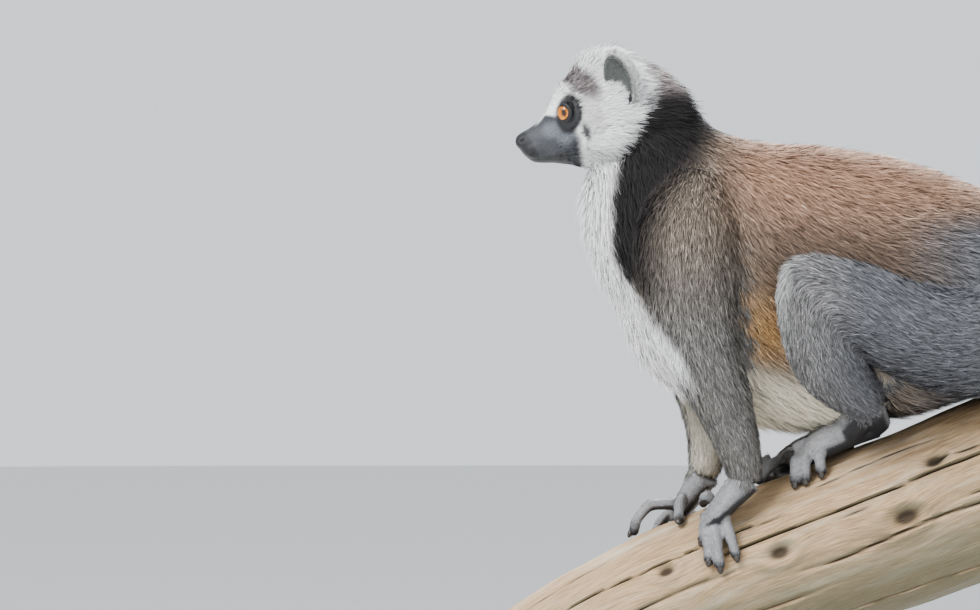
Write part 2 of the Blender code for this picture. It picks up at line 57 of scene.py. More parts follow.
# ---------------------------------------------------------------- materials
# A finish is worked out as arithmetic on sockets: Number wraps one, and Finish makes the nodes.
class Number:
    """One varying value of a finish."""

    def __init__(self, finish, socket):
        self.finish = finish
        self.socket = socket

    def maths(self, operation, *values):
        return self.finish.node("ShaderNodeMath", dict(enumerate(values)), operation=operation)

    def __add__(self, other):
        return self.maths("ADD", self, other)

    def __sub__(self, other):
        return self.maths("SUBTRACT", self, other)

    def __rsub__(self, other):
        return self.maths("SUBTRACT", other, self)

    def __mul__(self, other):
        return self.maths("MULTIPLY", self, other)

    __radd__ = __add__
    __rmul__ = __mul__

    def ramp(self, *stops):
        """A colour or a grey level by stops of place and value."""
        return self.finish.node("ShaderNodeValToRGB", {"Fac": self}, stops=stops)

    def between(self, low, high):
        """0 below low, 1 above high, smooth between."""
        return self.finish.node(
            "ShaderNodeMapRange",
            {"Value": self, "From Min": low, "From Max": high},
            interpolation_type="SMOOTHSTEP",
        )


class Finish:
    """A material with one main shader."""

    def __init__(self, name, **settings):
        self.material = bpy.data.materials.new(name)
        self.material.use_nodes = True
        self.tree = self.material.node_tree
        self.shader = self.tree.nodes["Principled BSDF"]
        for socket, value in settings.items():
            self.set(socket.replace("_", " "), value)

    def node(self, kind, inputs=None, stops=None, output=0, **settings):
        made = self.tree.nodes.new(kind)
        for setting, value in settings.items():
            setattr(made, setting, value)
        if stops:
            elements = made.color_ramp.elements
            while len(elements) < len(stops):
                elements.new(0.5)
            for element, (place, value) in zip(elements, stops):
                element.position = place
                element.color = (*(value if isinstance(value, tuple) else (value,) * 3), 1)
        for socket, value in (inputs or {}).items():
            if isinstance(value, Number):
                self.tree.links.new(value.socket, made.inputs[socket])
            else:
                made.inputs[socket].default_value = value
        return Number(self, made.outputs[output])

    def set(self, socket, value):
        if isinstance(value, Number):
            self.tree.links.new(value.socket, self.shader.inputs[socket])
        elif isinstance(value, tuple):
            self.shader.inputs[socket].default_value = (*value, 1)
        else:
            self.shader.inputs[socket].default_value = value

    def place(self, scale=(1, 1, 1)):
        """The place on the object, scaled."""
        here = self.node("ShaderNodeTexCoord", output=3)
        return self.node("ShaderNodeMapping", {"Vector": here, "Scale": scale})

    def attribute(self, name):
        return self.node("ShaderNodeAttribute", attribute_name=name, attribute_type="GEOMETRY")

    def speckle(self, place, scale, detail=3.0, roughness=0.6):
        return self.node(
            "ShaderNodeTexNoise", {"Vector": place, "Scale": scale, "Detail": detail, "Roughness": roughness}
        )

    def mix(self, share, first, second, blend="MIX"):
        made = self.tree.nodes.new("ShaderNodeMix")
        made.data_type = "RGBA"
        made.blend_type = blend
        for socket, value in ((made.inputs[0], share), (made.inputs[6], first), (made.inputs[7], second)):
            if isinstance(value, Number):
                self.tree.links.new(value.socket, socket)
            else:
                socket.default_value = (*value, 1) if isinstance(value, tuple) else value
        return Number(self, made.outputs[2])

    def bump(self, height, distance, strength=1.0):
        normal = self.node("ShaderNodeBump", {"Height": height, "Distance": distance, "Strength": strength})
        self.set("Normal", normal)

    def on(self, obj):
        obj.data.materials.clear()
        obj.data.materials.append(self.material)
        return obj


# ---------------------------------------------------------------- the room
# A plain pale floor under a pale sky, a camera level with the animal's chest, and soft lamps: a wide
# one over its face, a weak one beside the camera and one behind that edges the coat.
camera = bpy.data.objects.new("camera", bpy.data.cameras.new("camera"))
bpy.context.scene.collection.objects.link(camera)
CAMERA_AWAY, SENSOR, FRAME_WIDTH = 3.6, 36, 0.6468
camera.location = (-0.2343, -CAMERA_AWAY, 0.4587)
camera.rotation_euler = (math.radians(90), 0, 0)
camera.data.sensor_width = SENSOR
camera.data.lens = SENSOR * CAMERA_AWAY / FRAME_WIDTH
bpy.context.scene.camera = camera

world = bpy.data.worlds.new("room")
bpy.context.scene.world = world
world.use_nodes = True
world.node_tree.nodes["Background"].inputs["Color"].default_value = (0.80, 0.84, 0.88, 1)
world.node_tree.nodes["Background"].inputs["Strength"].default_value = 0.85

bpy.context.scene.view_settings.look = "AgX - Medium High Contrast"
bpy.context.scene.view_settings.exposure = 0.25

for name, place, size, power in (
    ("key", (-1.6, -1.6, 2.3), 1.3, 92),
    ("fill", (0.9, -2.8, 0.9), 1.6, 22),
    ("edge", (0.5, 1.7, 2.2), 1.2, 120),
):
    lamp = bpy.data.objects.new(name, bpy.data.lights.new(name, "AREA"))
    bpy.context.scene.collection.objects.link(lamp)
    lamp.location = place
    lamp.rotation_euler = (Vector(place) - Vector((-0.05, 0, 0.42))).to_track_quat("Z", "Y").to_euler()
    lamp.data.size = size
    lamp.data.energy = power


def as_object(name, mesh):
    obj = bpy.data.objects.new(name, mesh)
    bpy.context.scene.collection.objects.link(obj)
    return obj


def finished(bm, name="mesh"):
    mesh = bpy.data.meshes.new(name)
    bmesh.ops.recalc_face_normals(bm, faces=bm.faces)
    bm.to_mesh(mesh)
    bm.free()
    return mesh


FLOOR_RADIUS = 12
bm = bmesh.new()
bmesh.ops.create_circle(bm, cap_ends=True, segments=64, radius=FLOOR_RADIUS)
floor = as_object("floor", finished(bm))
floor_finish = Finish("floor", Roughness=0.9)
floor_grain = floor_finish.speckle(floor_finish.place(), 30)
floor_finish.set("Base Color", floor_finish.mix(floor_grain, (0.72, 0.72, 0.71), (0.76, 0.76, 0.75)))
floor_finish.on(floor)


# ---------------------------------------------------------------- shapes
# The branch and the animal's body are lofted from rings: each ring is a unit circle taken to its
# place, and the next ring is the last one extruded. All rows of sizes are in mm.
def smooth_rows(rows, steps):
    """Catmull-Rom rows through the given rows of numbers, with this many steps to a span."""
    rows = [np.array(row, float) for row in rows]
    last = len(rows) - 1
    made = []
    for i in range(last):
        before, start, end, after = (rows[min(max(k, 0), last)] for k in (i - 1, i, i + 1, i + 2))
        for t in np.arange(steps) / steps:
            curve = (2 * start, end - before, 2 * before - 5 * start + 4 * end - after)
            cubic = 3 * start - before - 3 * end + after
            made.append(0.5 * (curve[0] + curve[1] * t + curve[2] * t**2 + cubic * t**3))
    return [*made, rows[last]]


def ring_matrix(centre, side, up):
    along = side.cross(up).normalized()
    matrix = Matrix((side, up, along)).transposed().to_4x4()
    matrix.translation = centre
    return matrix


def extruded(matrices, segments):
    """A closed mesh of one circle extruded from ring to ring. Its points are ordered ring by ring."""
    bm = bmesh.new()
    bmesh.ops.create_circle(bm, cap_ends=True, segments=segments, radius=1, matrix=matrices[0])
    top = bm.faces[:][0]
    inner = []
    for before, after in zip(matrices, matrices[1:]):
        new = bmesh.ops.extrude_face_region(bm, geom=[top])["geom"]
        verts = [item for item in new if isinstance(item, bmesh.types.BMVert)]
        top = next(item for item in new if isinstance(item, bmesh.types.BMFace))
        bmesh.ops.transform(bm, matrix=after @ before.inverted(), verts=verts)
        inner.append(top)
    bmesh.ops.delete(bm, geom=inner[:-1], context="FACES_ONLY")
    return finished(bm)


def tube_rings(rows, steps=3):
    """Rings through balls. Each row is x, y, z and radius, or half width and half height."""
    rows = smooth_rows([row if len(row) == 5 else (*row, row[3]) for row in rows], steps)
    centres = [Vector(row[:3]) * MM for row in rows]
    side = Vector((0, 1, 0))
    matrices = []
    for i, row in enumerate(rows):
        along = (centres[min(i + 1, len(rows) - 1)] - centres[max(i - 1, 0)]).normalized()
        side = (side - along * side.dot(along)).normalized()
        half_width, half_height = (max(size, 0.3) * MM for size in row[3:5])
        matrices.append(ring_matrix(centres[i], side * half_width, along.cross(side) * half_height))
    return matrices


def profile_rings(rows, steps=3):
    """Rings through a side view: the top's x and z, the underside's x and z, and the half width."""
    matrices = []
    for top_x, top_z, under_x, under_z, width in smooth_rows(rows, steps):
        top, under = Vector((top_x, 0, top_z)) * MM, Vector((under_x, 0, under_z)) * MM
        matrices.append(ring_matrix((top + under) / 2, Vector((0, width * MM, 0)), (top - under) / 2))
    return matrices


def ball(centre, radii, matrix=None, segments=32, rings=20):
    place = (matrix or Matrix.Identity(4)) @ Matrix.Translation(Vector(centre) * MM)
    sizes = Matrix.Diagonal((*(Vector(radii) * MM), 1))
    bm = bmesh.new()
    bmesh.ops.create_uvsphere(bm, u_segments=segments, v_segments=rings, radius=1, matrix=place @ sizes)
    return finished(bm)


def joined(meshes):
    bm = bmesh.new()
    for mesh in meshes:
        bm.from_mesh(mesh)
    return finished(bm)


def evaluated(obj):
    """The object's mesh with its modifiers applied. The object is removed."""
    graph = bpy.context.evaluated_depsgraph_get()
    mesh = bpy.data.meshes.new_from_object(obj.evaluated_get(graph))
    bpy.data.objects.remove(obj)
    return mesh


def fused(meshes, voxel, rounds):
    """One closed surface round all the meshes, with its creases rounded off."""
    obj = as_object("fused", joined(meshes))
    remesh = obj.modifiers.new("Remesh", "REMESH")
    remesh.mode = "VOXEL"
    remesh.voxel_size = voxel * MM
    smooth = obj.modifiers.new("Smooth", "SMOOTH")
    smooth.factor = 0.5
    smooth.iterations = rounds
    return evaluated(obj)


def boolean(mesh, cutters, operation, solver="MANIFOLD"):
    obj = as_object("cut", mesh)
    tools = [as_object("cutter", cutter) for cutter in cutters]
    for tool in tools:
        modifier = obj.modifiers.new("Boolean", "BOOLEAN")
        modifier.operation = operation
        modifier.solver = solver
        modifier.object = tool
    made = evaluated(obj)
    for tool in tools:
        bpy.data.objects.remove(tool)
    return made


# ---------------------------------------------------------------- the branch
# A weathered, barkless length of branch, sawn square at both ends, with drying cracks along its
# grain and a few knots. Its two sockets take the rods.
BRANCH_X = (-212, 218)


def branch_axis(x):
    """The axis point at this x, the upward direction across the axis there and the radius, mm."""
    dip = max(0.0, -100 - x)
    height = 303 + 0.375 * x - 0.0014 * dip**2
    slope = 0.375 + 0.0028 * dip
    return Vector((x, 0, height)), Vector((-slope, 0, 1)).normalized(), 55 + 0.03 * x


def on_branch(x, angle, height):
    """The place this high over the wood. The angle runs from the top to the animal's right side."""
    centre, up, radius = branch_axis(x)
    turn = math.radians(angle)
    return centre + (up * math.cos(turn) + Vector((0, math.sin(turn), 0))) * (radius + height)


def branch_rings(steps, grow=0.0):
    matrices = []
    for share in np.linspace(0, 1, steps + 1):
        centre, up, radius = branch_axis(BRANCH_X[0] + share * (BRANCH_X[1] - BRANCH_X[0]))
        swell = 0.9 * math.sin(19 * share) + 0.7 * math.sin(41 * share + 1)
        side = Vector((0, (radius + swell + grow) * MM, 0))
        matrices.append(ring_matrix(centre * MM, side, up * ((radius - 0.4 * swell + grow) * MM)))
    return matrices


axis = [branch_axis(x) for x in np.linspace(-260, 260, 521)]
axis_point = np.array([tuple(row[0]) for row in axis])
axis_up = np.array([tuple(row[1]) for row in axis])


def branch_place(points):
    """For places in mm: the x of the nearest axis point, the angle from the top, the distance from
    the axis, and that axis point."""
    x = points[:, 0].copy()
    for _ in range(4):
        centre = np.stack([np.interp(x, axis_point[:, 0], axis_point[:, k]) for k in range(3)], 1)
        up = np.stack([np.interp(x, axis_point[:, 0], axis_up[:, k]) for k in range(3)], 1)
        along = np.stack([up[:, 2], 0 * x, -up[:, 0]], 1)
        x = x + ((points - centre) * along).sum(1) * along[:, 0]
    height = ((points - centre) * up).sum(1)
    return x, np.degrees(np.arctan2(points[:, 1], height)), np.hypot(points[:, 1], height), centre


# Cracks: the angle from the top in degrees, the two ends along x and the depth, mm.
CRACKS = (
    (-52, -190, -20, 2.6), (-66, -90, 120, 3.2), (-81, -205, -60, 2.2), (-38, -30, 90, 1.6),
    (-96, -40, 160, 2.6), (-112, -180, -10, 2.2), (20, -150, 60, 2.0), (48, -60, 190, 2.8),
    (80, -200, 20, 2.4), (118, -60, 200, 2.6), (-140, -40, 190, 2.2), (-24, -205, -120, 1.4),
    (-58, 40, 215, 1.8), (-74, -15, 35, 1.4), (-90, 60, 200, 1.8), (150, -190, 10, 2.0),
    (-8, 90, 210, 1.8), (64, -200, -90, 1.6),
)
# Knots: x, the angle from the top, the size along the grain and the depth, mm.
KNOTS = (
    (-42, -78, 5.5, 3.4), (38, -86, 7, 4.2), (66, -56, 5, 3), (-110, -60, 4, 2.4), (20, 70, 8, 4),
    (130, -100, 7, 4),
)
branch = extruded(branch_rings(300), 240)
points = np.array([vert.co for vert in branch.vertices]) / MM
x_along, angle, distance, centre = branch_place(points)
wander = np.array([noise.noise(Vector((x * 0.012, a * 0.02, 3))) for x, a in zip(x_along, angle)])
depth = np.zeros(len(points))
# dark: painted shade along the cracks and in the knot hollows, with the knots' own darker wood
dark = np.zeros(len(points))
for turn, start, end, deep in CRACKS:
    off = np.radians(angle - turn - 5 * wander - 1.2 * np.sin(x_along * 0.05 + turn)) * distance
    ends = np.clip(np.minimum(x_along - start, end - x_along) / 30, 0, 1)
    shape = np.exp(-((off / 0.9) ** 2)) * ends
    depth += deep * shape
    dark = np.maximum(dark, shape)
ring_grain = np.zeros(len(points))
for x, turn, size, deep in KNOTS:
    off = np.radians((angle - turn + 180) % 360 - 180) * distance
    reach = np.hypot((x_along - x) / (1.6 * size), off / size)
    depth += deep * np.exp(-(reach**2) * 1.6) - 1.5 * np.exp(-((reach - 1.5) ** 2) * 3)
    dark = np.maximum(dark, np.exp(-(reach**2) * 1.2))
    ring_grain += np.exp(-(reach**2) * 0.35) * size * 0.6
grain = np.array([noise.fractal(Vector((x * 0.03, a * 0.09, 0)), 0.8, 2, 4) for x, a in zip(x_along, angle)])
bulge = np.array([noise.noise(Vector((x * 0.011, a * 0.018, 9))) for x, a in zip(x_along, angle)])
outward = (points - centre) / np.maximum(distance, 1)[:, None]
points += outward * ((0.45 * grain + 1.5 * (bulge - 0.2) - depth) * (distance > 20))[:, None]
branch.vertices.foreach_set("co", (points * MM).ravel())
wood_rows = np.stack([x_along, np.radians(angle) * distance + ring_grain, distance], 1)
branch.attributes.new("wood_place", "FLOAT_VECTOR", "POINT").data.foreach_set("vector", wood_rows.ravel())
branch.attributes.new("crack_shade_and_knot_tone", "FLOAT", "POINT").data.foreach_set("value", dark)
for name in ("front", "back"):
    low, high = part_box(f"stand_rod_{name}")
    middle_x, bottom, top = (low.x + high.x) / 2, 0.08, high.z + 0.3 * MM
    bm = bmesh.new()
    place = Matrix.Translation((middle_x, 0, (bottom + top) / 2))
    bmesh.ops.create_cone(
        bm, cap_ends=True, segments=48, radius1=7.4 * MM, radius2=7.4 * MM, depth=top - bottom, matrix=place
    )
    branch = boolean(branch, [finished(bm)], "DIFFERENCE")
branch_piece = as_object("branch", branch)
branch.shade_smooth()
branch.set_sharp_from_angle(angle=math.radians(50))
wood = Finish("weathered_wood", Roughness=0.78, Specular_IOR_Level=0.3)
wood_rows_place = wood.attribute("wood_place")
wood_rows_place = Number(wood, wood_rows_place.socket.node.outputs["Vector"])
along_grain = wood.node("ShaderNodeMapping", {"Vector": wood_rows_place, "Scale": (0.016, 0.30, 0.05)})
broad_grain = wood.node("ShaderNodeMapping", {"Vector": wood_rows_place, "Scale": (0.006, 0.05, 0.01)})
fine = wood.speckle(along_grain, 4.0, 6, 0.7)
broad = wood.speckle(broad_grain, 2.0, 4, 0.6)
stain = wood.speckle(wood.place(), 16, 4, 0.6)
facing_up = wood.node(
    "ShaderNodeSeparateXYZ", {"Vector": wood.node("ShaderNodeNewGeometry", output=1)}, output=2
)
base = fine.ramp((0.25, (0.13, 0.085, 0.05)), (0.5, (0.37, 0.26, 0.155)), (0.75, (0.58, 0.44, 0.29)))
base = wood.mix(broad.between(0.45, 0.75) * 0.5, base, (0.50, 0.47, 0.40))
# painted shade: the wood turns dark olive towards its underside, by how far each face turns down
base = wood.mix((0.45 - facing_up * 0.9).between(0.0, 1.0) * 0.75, base, (0.10, 0.105, 0.07))
base = wood.mix(stain.between(0.55, 0.75) * 0.35, base, (0.16, 0.12, 0.08))
# painted shade in the cracks and knot hollows, darkened almost to black, with the knots' own darker wood
base = wood.mix(wood.attribute("crack_shade_and_knot_tone").between(0.25, 0.85) * 0.9, base, (0.025, 0.017, 0.011))
wood.set("Base Color", base)
wood.bump(fine * 0.7 + broad * 0.3, 0.0009, 0.9)
wood.on(branch_piece)
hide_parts("stand_perch")
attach(branch_piece, "root")

# ---------------------------------------------------------------- the board and rods
# A painted board with rounded edges, and two brushed steel rods with round feet screwed to it.
paint = Finish("painted_board", Roughness=0.5)
paint_grain = paint.speckle(paint.place((4, 60, 60)), 14, 5)
paint.set("Base Color", paint_grain.ramp((0.3, (0.045, 0.046, 0.05)), (0.7, (0.075, 0.076, 0.08))))
paint.set("Roughness", paint_grain.ramp((0.3, 0.42), (0.7, 0.6)))
paint.bump(paint_grain, 0.0002, 0.5)
paint.on(NODES["stand_base"])
steel = Finish("brushed_steel", Metallic=1.0)
brushing = steel.speckle(steel.place((60, 60, 900)), 1.0, 4)
steel.set("Base Color", brushing.ramp((0.3, (0.50, 0.50, 0.51)), (0.7, (0.66, 0.66, 0.67))))
steel.set("Roughness", brushing.ramp((0.3, 0.26), (0.7, 0.4)))
steel.bump(brushing, 0.00005, 0.4)
for name in ("front", "back"):
    steel.on(NODES[f"stand_rod_{name}"])

# ---------------------------------------------------------------- the body under the coat
# One skin over the whole animal. It lies inside the outline by the depth of the coat, which is
# least on the muzzle, fingers and toes. Rows are those of the outline, with the depth taken off.
# The neck and trunk from the side: top x, z, underside x, z and half width.
TRUNK = (
    (-128, 620, -174, 550, 33),
    (-105, 602, -175, 534, 36),
    (-87, 581, -176, 512, 41),
    (-64, 571, -168, 481, 47),
    (-38, 567, -152, 452, 53),
    (-12, 566, -138, 420, 58),
    (14, 563, -104, 393, 61),
    (44, 557, -44, 373, 63),
    (84, 542, 24, 380, 65),
    (122, 520, 84, 396, 61),
    (152, 493, 132, 416, 46),
    (172, 466, 162, 442, 22),
)
# Limbs and tail from the root out: x, distance from the middle plane, z, radius and coat depth.
UPPER_ARM = {
    "left": (
        (-98, 25, 545, 22, 7), (-104, 34, 512, 40, 7.5), (-103, 44, 470, 36, 6.5),
        (-95, 49, 428, 28, 5.5), (-84, 50, 399, 23, 4.5),
    ),
    "right": (
        (-100, 25, 545, 22, 7), (-106, 34, 512, 40, 7.5), (-105, 44, 470, 35, 6.5),
        (-99, 47, 428, 26, 5.5), (-92, 43, 396, 19.5, 4),
    ),
}
FOREARM = {
    "left": ((-84, 50, 399, 23, 4.5), (-73, 46, 368, 17.2, 3), (-67, 40, 345, 12.8, 2)),
    "right": ((-92, 43, 396, 19.5, 4), (-90, 31, 369, 15.2, 2.8), (-92, 19, 346, 12.2, 2)),
}
THIGH = {
    "left": (
        (142, 24, 450, 22, 7), (104, 37, 440, 45, 7), (70, 52, 436, 41, 7), (36, 66, 443, 36, 6.5),
        (4, 76, 459, 31, 6), (-30, 80, 472, 25, 5.5),
    ),
    "right": (
        (142, 24, 450, 22, 7), (104, 37, 440, 45, 7), (66, 52, 435, 41, 7), (30, 66, 441, 36, 6.5),
        (-4, 76, 456, 31, 6), (-38, 80, 468, 25, 5.5),
    ),
}
SHANK = {
    "left": (
        (-30, 80, 472, 25, 5.5), (-25, 77, 446, 27, 5.5), (-15, 66, 421, 26, 4.5),
        (2, 50, 403, 20, 3.5), (12, 36, 393, 13, 2),
    ),
    "right": (
        (-38, 80, 468, 25, 5.5), (-34, 78, 442, 27, 5.5), (-25, 68, 417, 26, 4.5),
        (-10, 54, 399, 20, 3.5), (0, 42, 389, 13, 2),
    ),
}
TAIL = (
    (132, 0, 450, 27, 15),
    (158, -8, 458, 25, 15),
    (180, -30, 464, 25, 15),
    (196, -66, 450, 25, 15.5),
    (203, -93, 405, 26, 16),
    (206, -101, 335, 27, 17),
    (201, -99, 262, 27, 17),
    (189, -95, 190, 27, 17),
    (166, -92, 125, 27, 17),
    (130, -90, 81, 26, 17),
    (92, -88, 66, 24, 16),
    (68, -86, 73, 18, 12),
)
FINGERS = {
    "left": {
        "thumb": ((-70, -22), (-74, -4), 8),
        "index": ((-75, -38), (-83, -50), 8),
        "middle": ((-76, -42), (-84, -66), 8),
        "ring": ((-72, -43), (-79, -73), 10),
        "little": ((-66, -45), (-67.5, -70), 9),
    },
    "right": {
        "thumb": ((-85, 8), (-92, -22), 8),
        "index": ((-90, 14), (-118, 8), 16),
        "middle": ((-90, 24), (-112, 42), 11),
        "ring": ((-87, 32), (-104, 62), 10),
        "little": ((-82, 36), (-91, 70), 9),
    },
}
TOES = {
    "left": {
        "great": ((8, -6), (-2, 8), 8),
        "third": ((-7, -16), (-17, -32), 13),
        "fourth": ((-2, -18), (-10.5, -33), 13),
        "fifth": ((5, -19), (0, -32), 11),
    },
    "right": {
        "great": ((-18, 14), (-37, -2), 9),
        "third": ((-26, 26), (-36, 38), 11),
        "fourth": ((-21, 29), (-30, 47), 11),
        "fifth": ((-14, 31), (-21, 52), 10),
    },
}
CLAW_TOE = {"left": ((-2, -14), (-10, -14)), "right": ((-24, 22), (-33, 22))}
HEEL = {"left": (44, -14), "right": (28, 27)}
BALL_OF_FOOT = {"left": (0, -16), "right": (-16, 25)}
TRUNK_COAT_DEPTH = 8
REGIONS = ("trunk", "head", "ear", "upper_arm", "forearm", "hand", "thigh", "shank", "foot", "tail")
# How the coat lies: for each ring point of a form its place, direction, region and share along it.
# A form that isn't counted has no share, so that only fingers and toes darken to their ends.
lie_place, lie_along, lie_region, lie_share = [], [], [], []


def form(region, matrices, segments=20, counted=True):
    """A length of the body, which also tells the coat which way it runs."""
    centres = np.array([tuple(matrix.translation) for matrix in matrices])
    along = np.gradient(centres, axis=0)
    along /= np.linalg.norm(along, axis=1)[:, None]
    mesh = extruded(matrices, segments)
    points = np.array([vert.co for vert in mesh.vertices])
    row = np.arange(len(points)) // segments
    lie_place.append(points)
    lie_along.append(along[row])
    lie_region.append(np.full(len(points), REGIONS.index(region)))
    lie_share.append(row / (len(matrices) - 1) * counted)
    return mesh


def under_coat(rows, side=1):
    return [(x, side * y, z, radius - depth) for x, y, z, radius, depth in rows]


def capped(rows):
    """The rows with a rounded end added past the last one."""
    last, before = np.array(rows[-1], float), np.array(rows[-2], float)
    along = (last[:3] - before[:3]) / np.linalg.norm(last[:3] - before[:3])
    tip = last.copy()
    tip[:3] += along * last[3] * 0.75
    tip[3:] *= 0.35
    return [*rows, tuple(tip)]


def digit(region, root, tip, arch, radius):
    """A finger or toe that bends over an arch, with knuckles, and rests its pad on the wood."""
    rows = []
    for share, height, girth in (
        (0, 11, 1.15),
        (0.3, 6 + 0.5 * arch, 0.98),
        (0.52, arch, 1.04),
        (0.7, 0.82 * arch, 0.88),
        (0.86, 0.62 * arch, 0.9),
        (1, 3.6, 0.88),
    ):
        x, angle = np.array(root) + share * (np.array(tip) - np.array(root))
        rows.append((*on_branch(x, angle, height), radius * girth))
    return form(region, tube_rings(capped(rows), 2), 12)


def hand_forms(name):
    wrist = np.array(under_coat(FOREARM[name], SIDES[name])[-1])
    digits = [place for digit_name, place in FINGERS[name].items() if digit_name != "thumb"]
    roots = [on_branch(*root, 11) for root, _, _ in digits]
    knuckles = np.mean(roots, axis=0)
    back_of_hand = 0.45 * wrist[:3] + 0.55 * knuckles
    palm = [(*wrist[:3], 10.5, 10.5), (*back_of_hand, 13.4, 8.4), (*knuckles, 13.8, 6.6)]
    return [form("hand", tube_rings(capped(palm), 2), 16, False)] + [
        digit("hand", root, tip, arch, 3.8) for root, tip, arch in FINGERS[name].values()
    ]


def foot_forms(name):
    ankle = np.array(under_coat(SHANK[name], SIDES[name])[-1])
    heel, ball_of_foot = on_branch(*HEEL[name], 10), on_branch(*BALL_OF_FOOT[name], 12)
    middle = (heel + ball_of_foot) / 2 + Vector((0, 0, 4))
    sole = [(*heel, 7, 8), (*middle, 11, 11), (*ball_of_foot, 13.4, 9)]
    claw_root, claw_tip = (on_branch(*place, 17) for place in CLAW_TOE[name])
    return [
        form("foot", tube_rings(capped(sole), 2), 16, False),
        form("foot", tube_rings([tuple(ankle), (*middle, 11)], 3), 14, False),
        form("foot", tube_rings([tuple(ankle), (*heel, 8)], 3), 14, False),
        form("foot", tube_rings(capped([(*claw_root, 4.4), (*claw_tip, 3.5)]), 2), 12),
    ] + [digit("foot", root, tip, arch, 4.1) for root, tip, arch in TOES[name].values()]


trunk_rows = []
for top_x, top_z, under_x, under_z, width in TRUNK:
    top, under = np.array((top_x, top_z), float), np.array((under_x, under_z), float)
    depth = min(TRUNK_COAT_DEPTH, width * 0.45)
    inward = (under - top) / np.linalg.norm(under - top) * depth
    trunk_rows.append((*(top + inward), *(under - inward), width - depth))
bulk = [
    form("trunk", profile_rings(trunk_rows), 32),
    form("tail", tube_rings(capped(under_coat(TAIL)), 4), 16),
]
for name, side in SIDES.items():
    for region, limb in (("upper_arm", UPPER_ARM), ("forearm", FOREARM), ("thigh", THIGH), ("shank", SHANK)):
        bulk.append(form(region, tube_rings(under_coat(limb[name], side), 3), 20))
    knee = SHANK[name][0]
    bulk.append(ball((knee[0], side * knee[1], knee[2]), (17, 17, 17)))
bulk = fused(bulk, 2.9, 12)

# ---------------------------------------------------------------- the head's skin
# A fox-like muzzle with a bare black nose, lids round the eyes, a closed mouth and cupped ears.
# The head frame starts at the nose tip and its first axis runs back and up to the nape.
NOSE_TIP = Vector((-217.8, 0, 567.6)) * MM
HEAD_TILT = math.radians(17)
pivot = Matrix.Translation(NOSE_TIP + Vector((math.cos(HEAD_TILT), 0, math.sin(HEAD_TILT))) * 88 * MM)
HEAD = pivot @ Matrix.Rotation(math.radians(5), 4, "Z") @ pivot.inverted()
HEAD = HEAD @ Matrix.Translation(NOSE_TIP) @ Matrix.Rotation(-HEAD_TILT, 4, "Y")
# From the nose tip back: distance, top, underside, half width and the coat's depth.
HEAD_PROFILE = (
    (0.4, 0.8, -5.0, 3.6, 0.0),
    (2.4, 2.6, -11.0, 6.6, 0.2),
    (6.5, 4.2, -17.5, 8.8, 0.5),
    (12.0, 5.8, -20.5, 10.2, 0.8),
    (18.0, 8.6, -22.5, 12.2, 1.0),
    (24.0, 13.2, -25.0, 15.5, 1.3),
    (29.0, 20.0, -27.5, 19.5, 1.8),
    (34.0, 26.6, -31.0, 24.0, 2.6),
    (40.0, 31.4, -35.0, 28.0, 3.6),
    (48.0, 37.0, -38.0, 32.5, 5.0),
    (56.0, 43.0, -40.0, 36.5, 6.0),
    (65.0, 45.4, -42.0, 39.0, 7.0),
    (76.0, 43.0, -43.0, 39.5, 7.5),
    (88.0, 35.0, -44.0, 38.0, 8.0),
    (100.0, 26.5, -44.0, 36.0, 9.0),
    (112.0, 11.0, -36.0, 26.0, 9.0),
)
EYE_PLACE = (37.6, 16.4, 7.4)
EYE_AXIS = (-0.79, 0.61, 0.05)
EYE_RADIUS = 7.6
EAR_PLACE = (74.5, 35.0, 17.0)
EAR_SIZE = (8.0, 12.5, 21.0)


def ear_frame(side):
    """The ear's frame: its opening looks along the first axis and its tip points along the third."""
    along, aside, up = EAR_PLACE
    lean = Matrix.Rotation(math.radians(-side * 30), 4, "X")
    turn = Matrix.Rotation(math.radians(180 - side * 40), 4, "Z")
    return HEAD @ Matrix.Translation(Vector((along, side * aside, up)) * MM) @ lean @ turn


def eye_frame(side):
    """The eye's frame: its centre, with the third axis looking out through the pupil."""
    along, aside, up = EYE_PLACE
    look = Vector((EYE_AXIS[0], side * EYE_AXIS[1], EYE_AXIS[2])).to_track_quat("Z", "Y")
    return HEAD @ Matrix.Translation(Vector((along, side * aside, up)) * MM) @ look.to_matrix().to_4x4()


def lid_ring(side):
    """The rims of both lids, a soft ring round the almond opening."""
    places = []
    for turn in np.arange(28) * 2 * math.pi / 28:
        across, up = 6.6 * math.cos(turn), 5.9 * math.sin(turn)
        reach = math.sqrt(8.3**2 - across**2 - up**2)
        places.append(eye_frame(side) @ Vector((across * MM, up * MM, reach * MM)))
    rings = []
    middle = eye_frame(side).translation
    for i in range(29):
        place = places[i % 28]
        along = (places[(i + 1) % 28] - places[(i - 1) % 28]).normalized()
        out = (place - middle).normalized()
        rings.append(ring_matrix(place, out * 1.5 * MM, along.cross(out) * 1.7 * MM))
    return extruded(rings, 10)


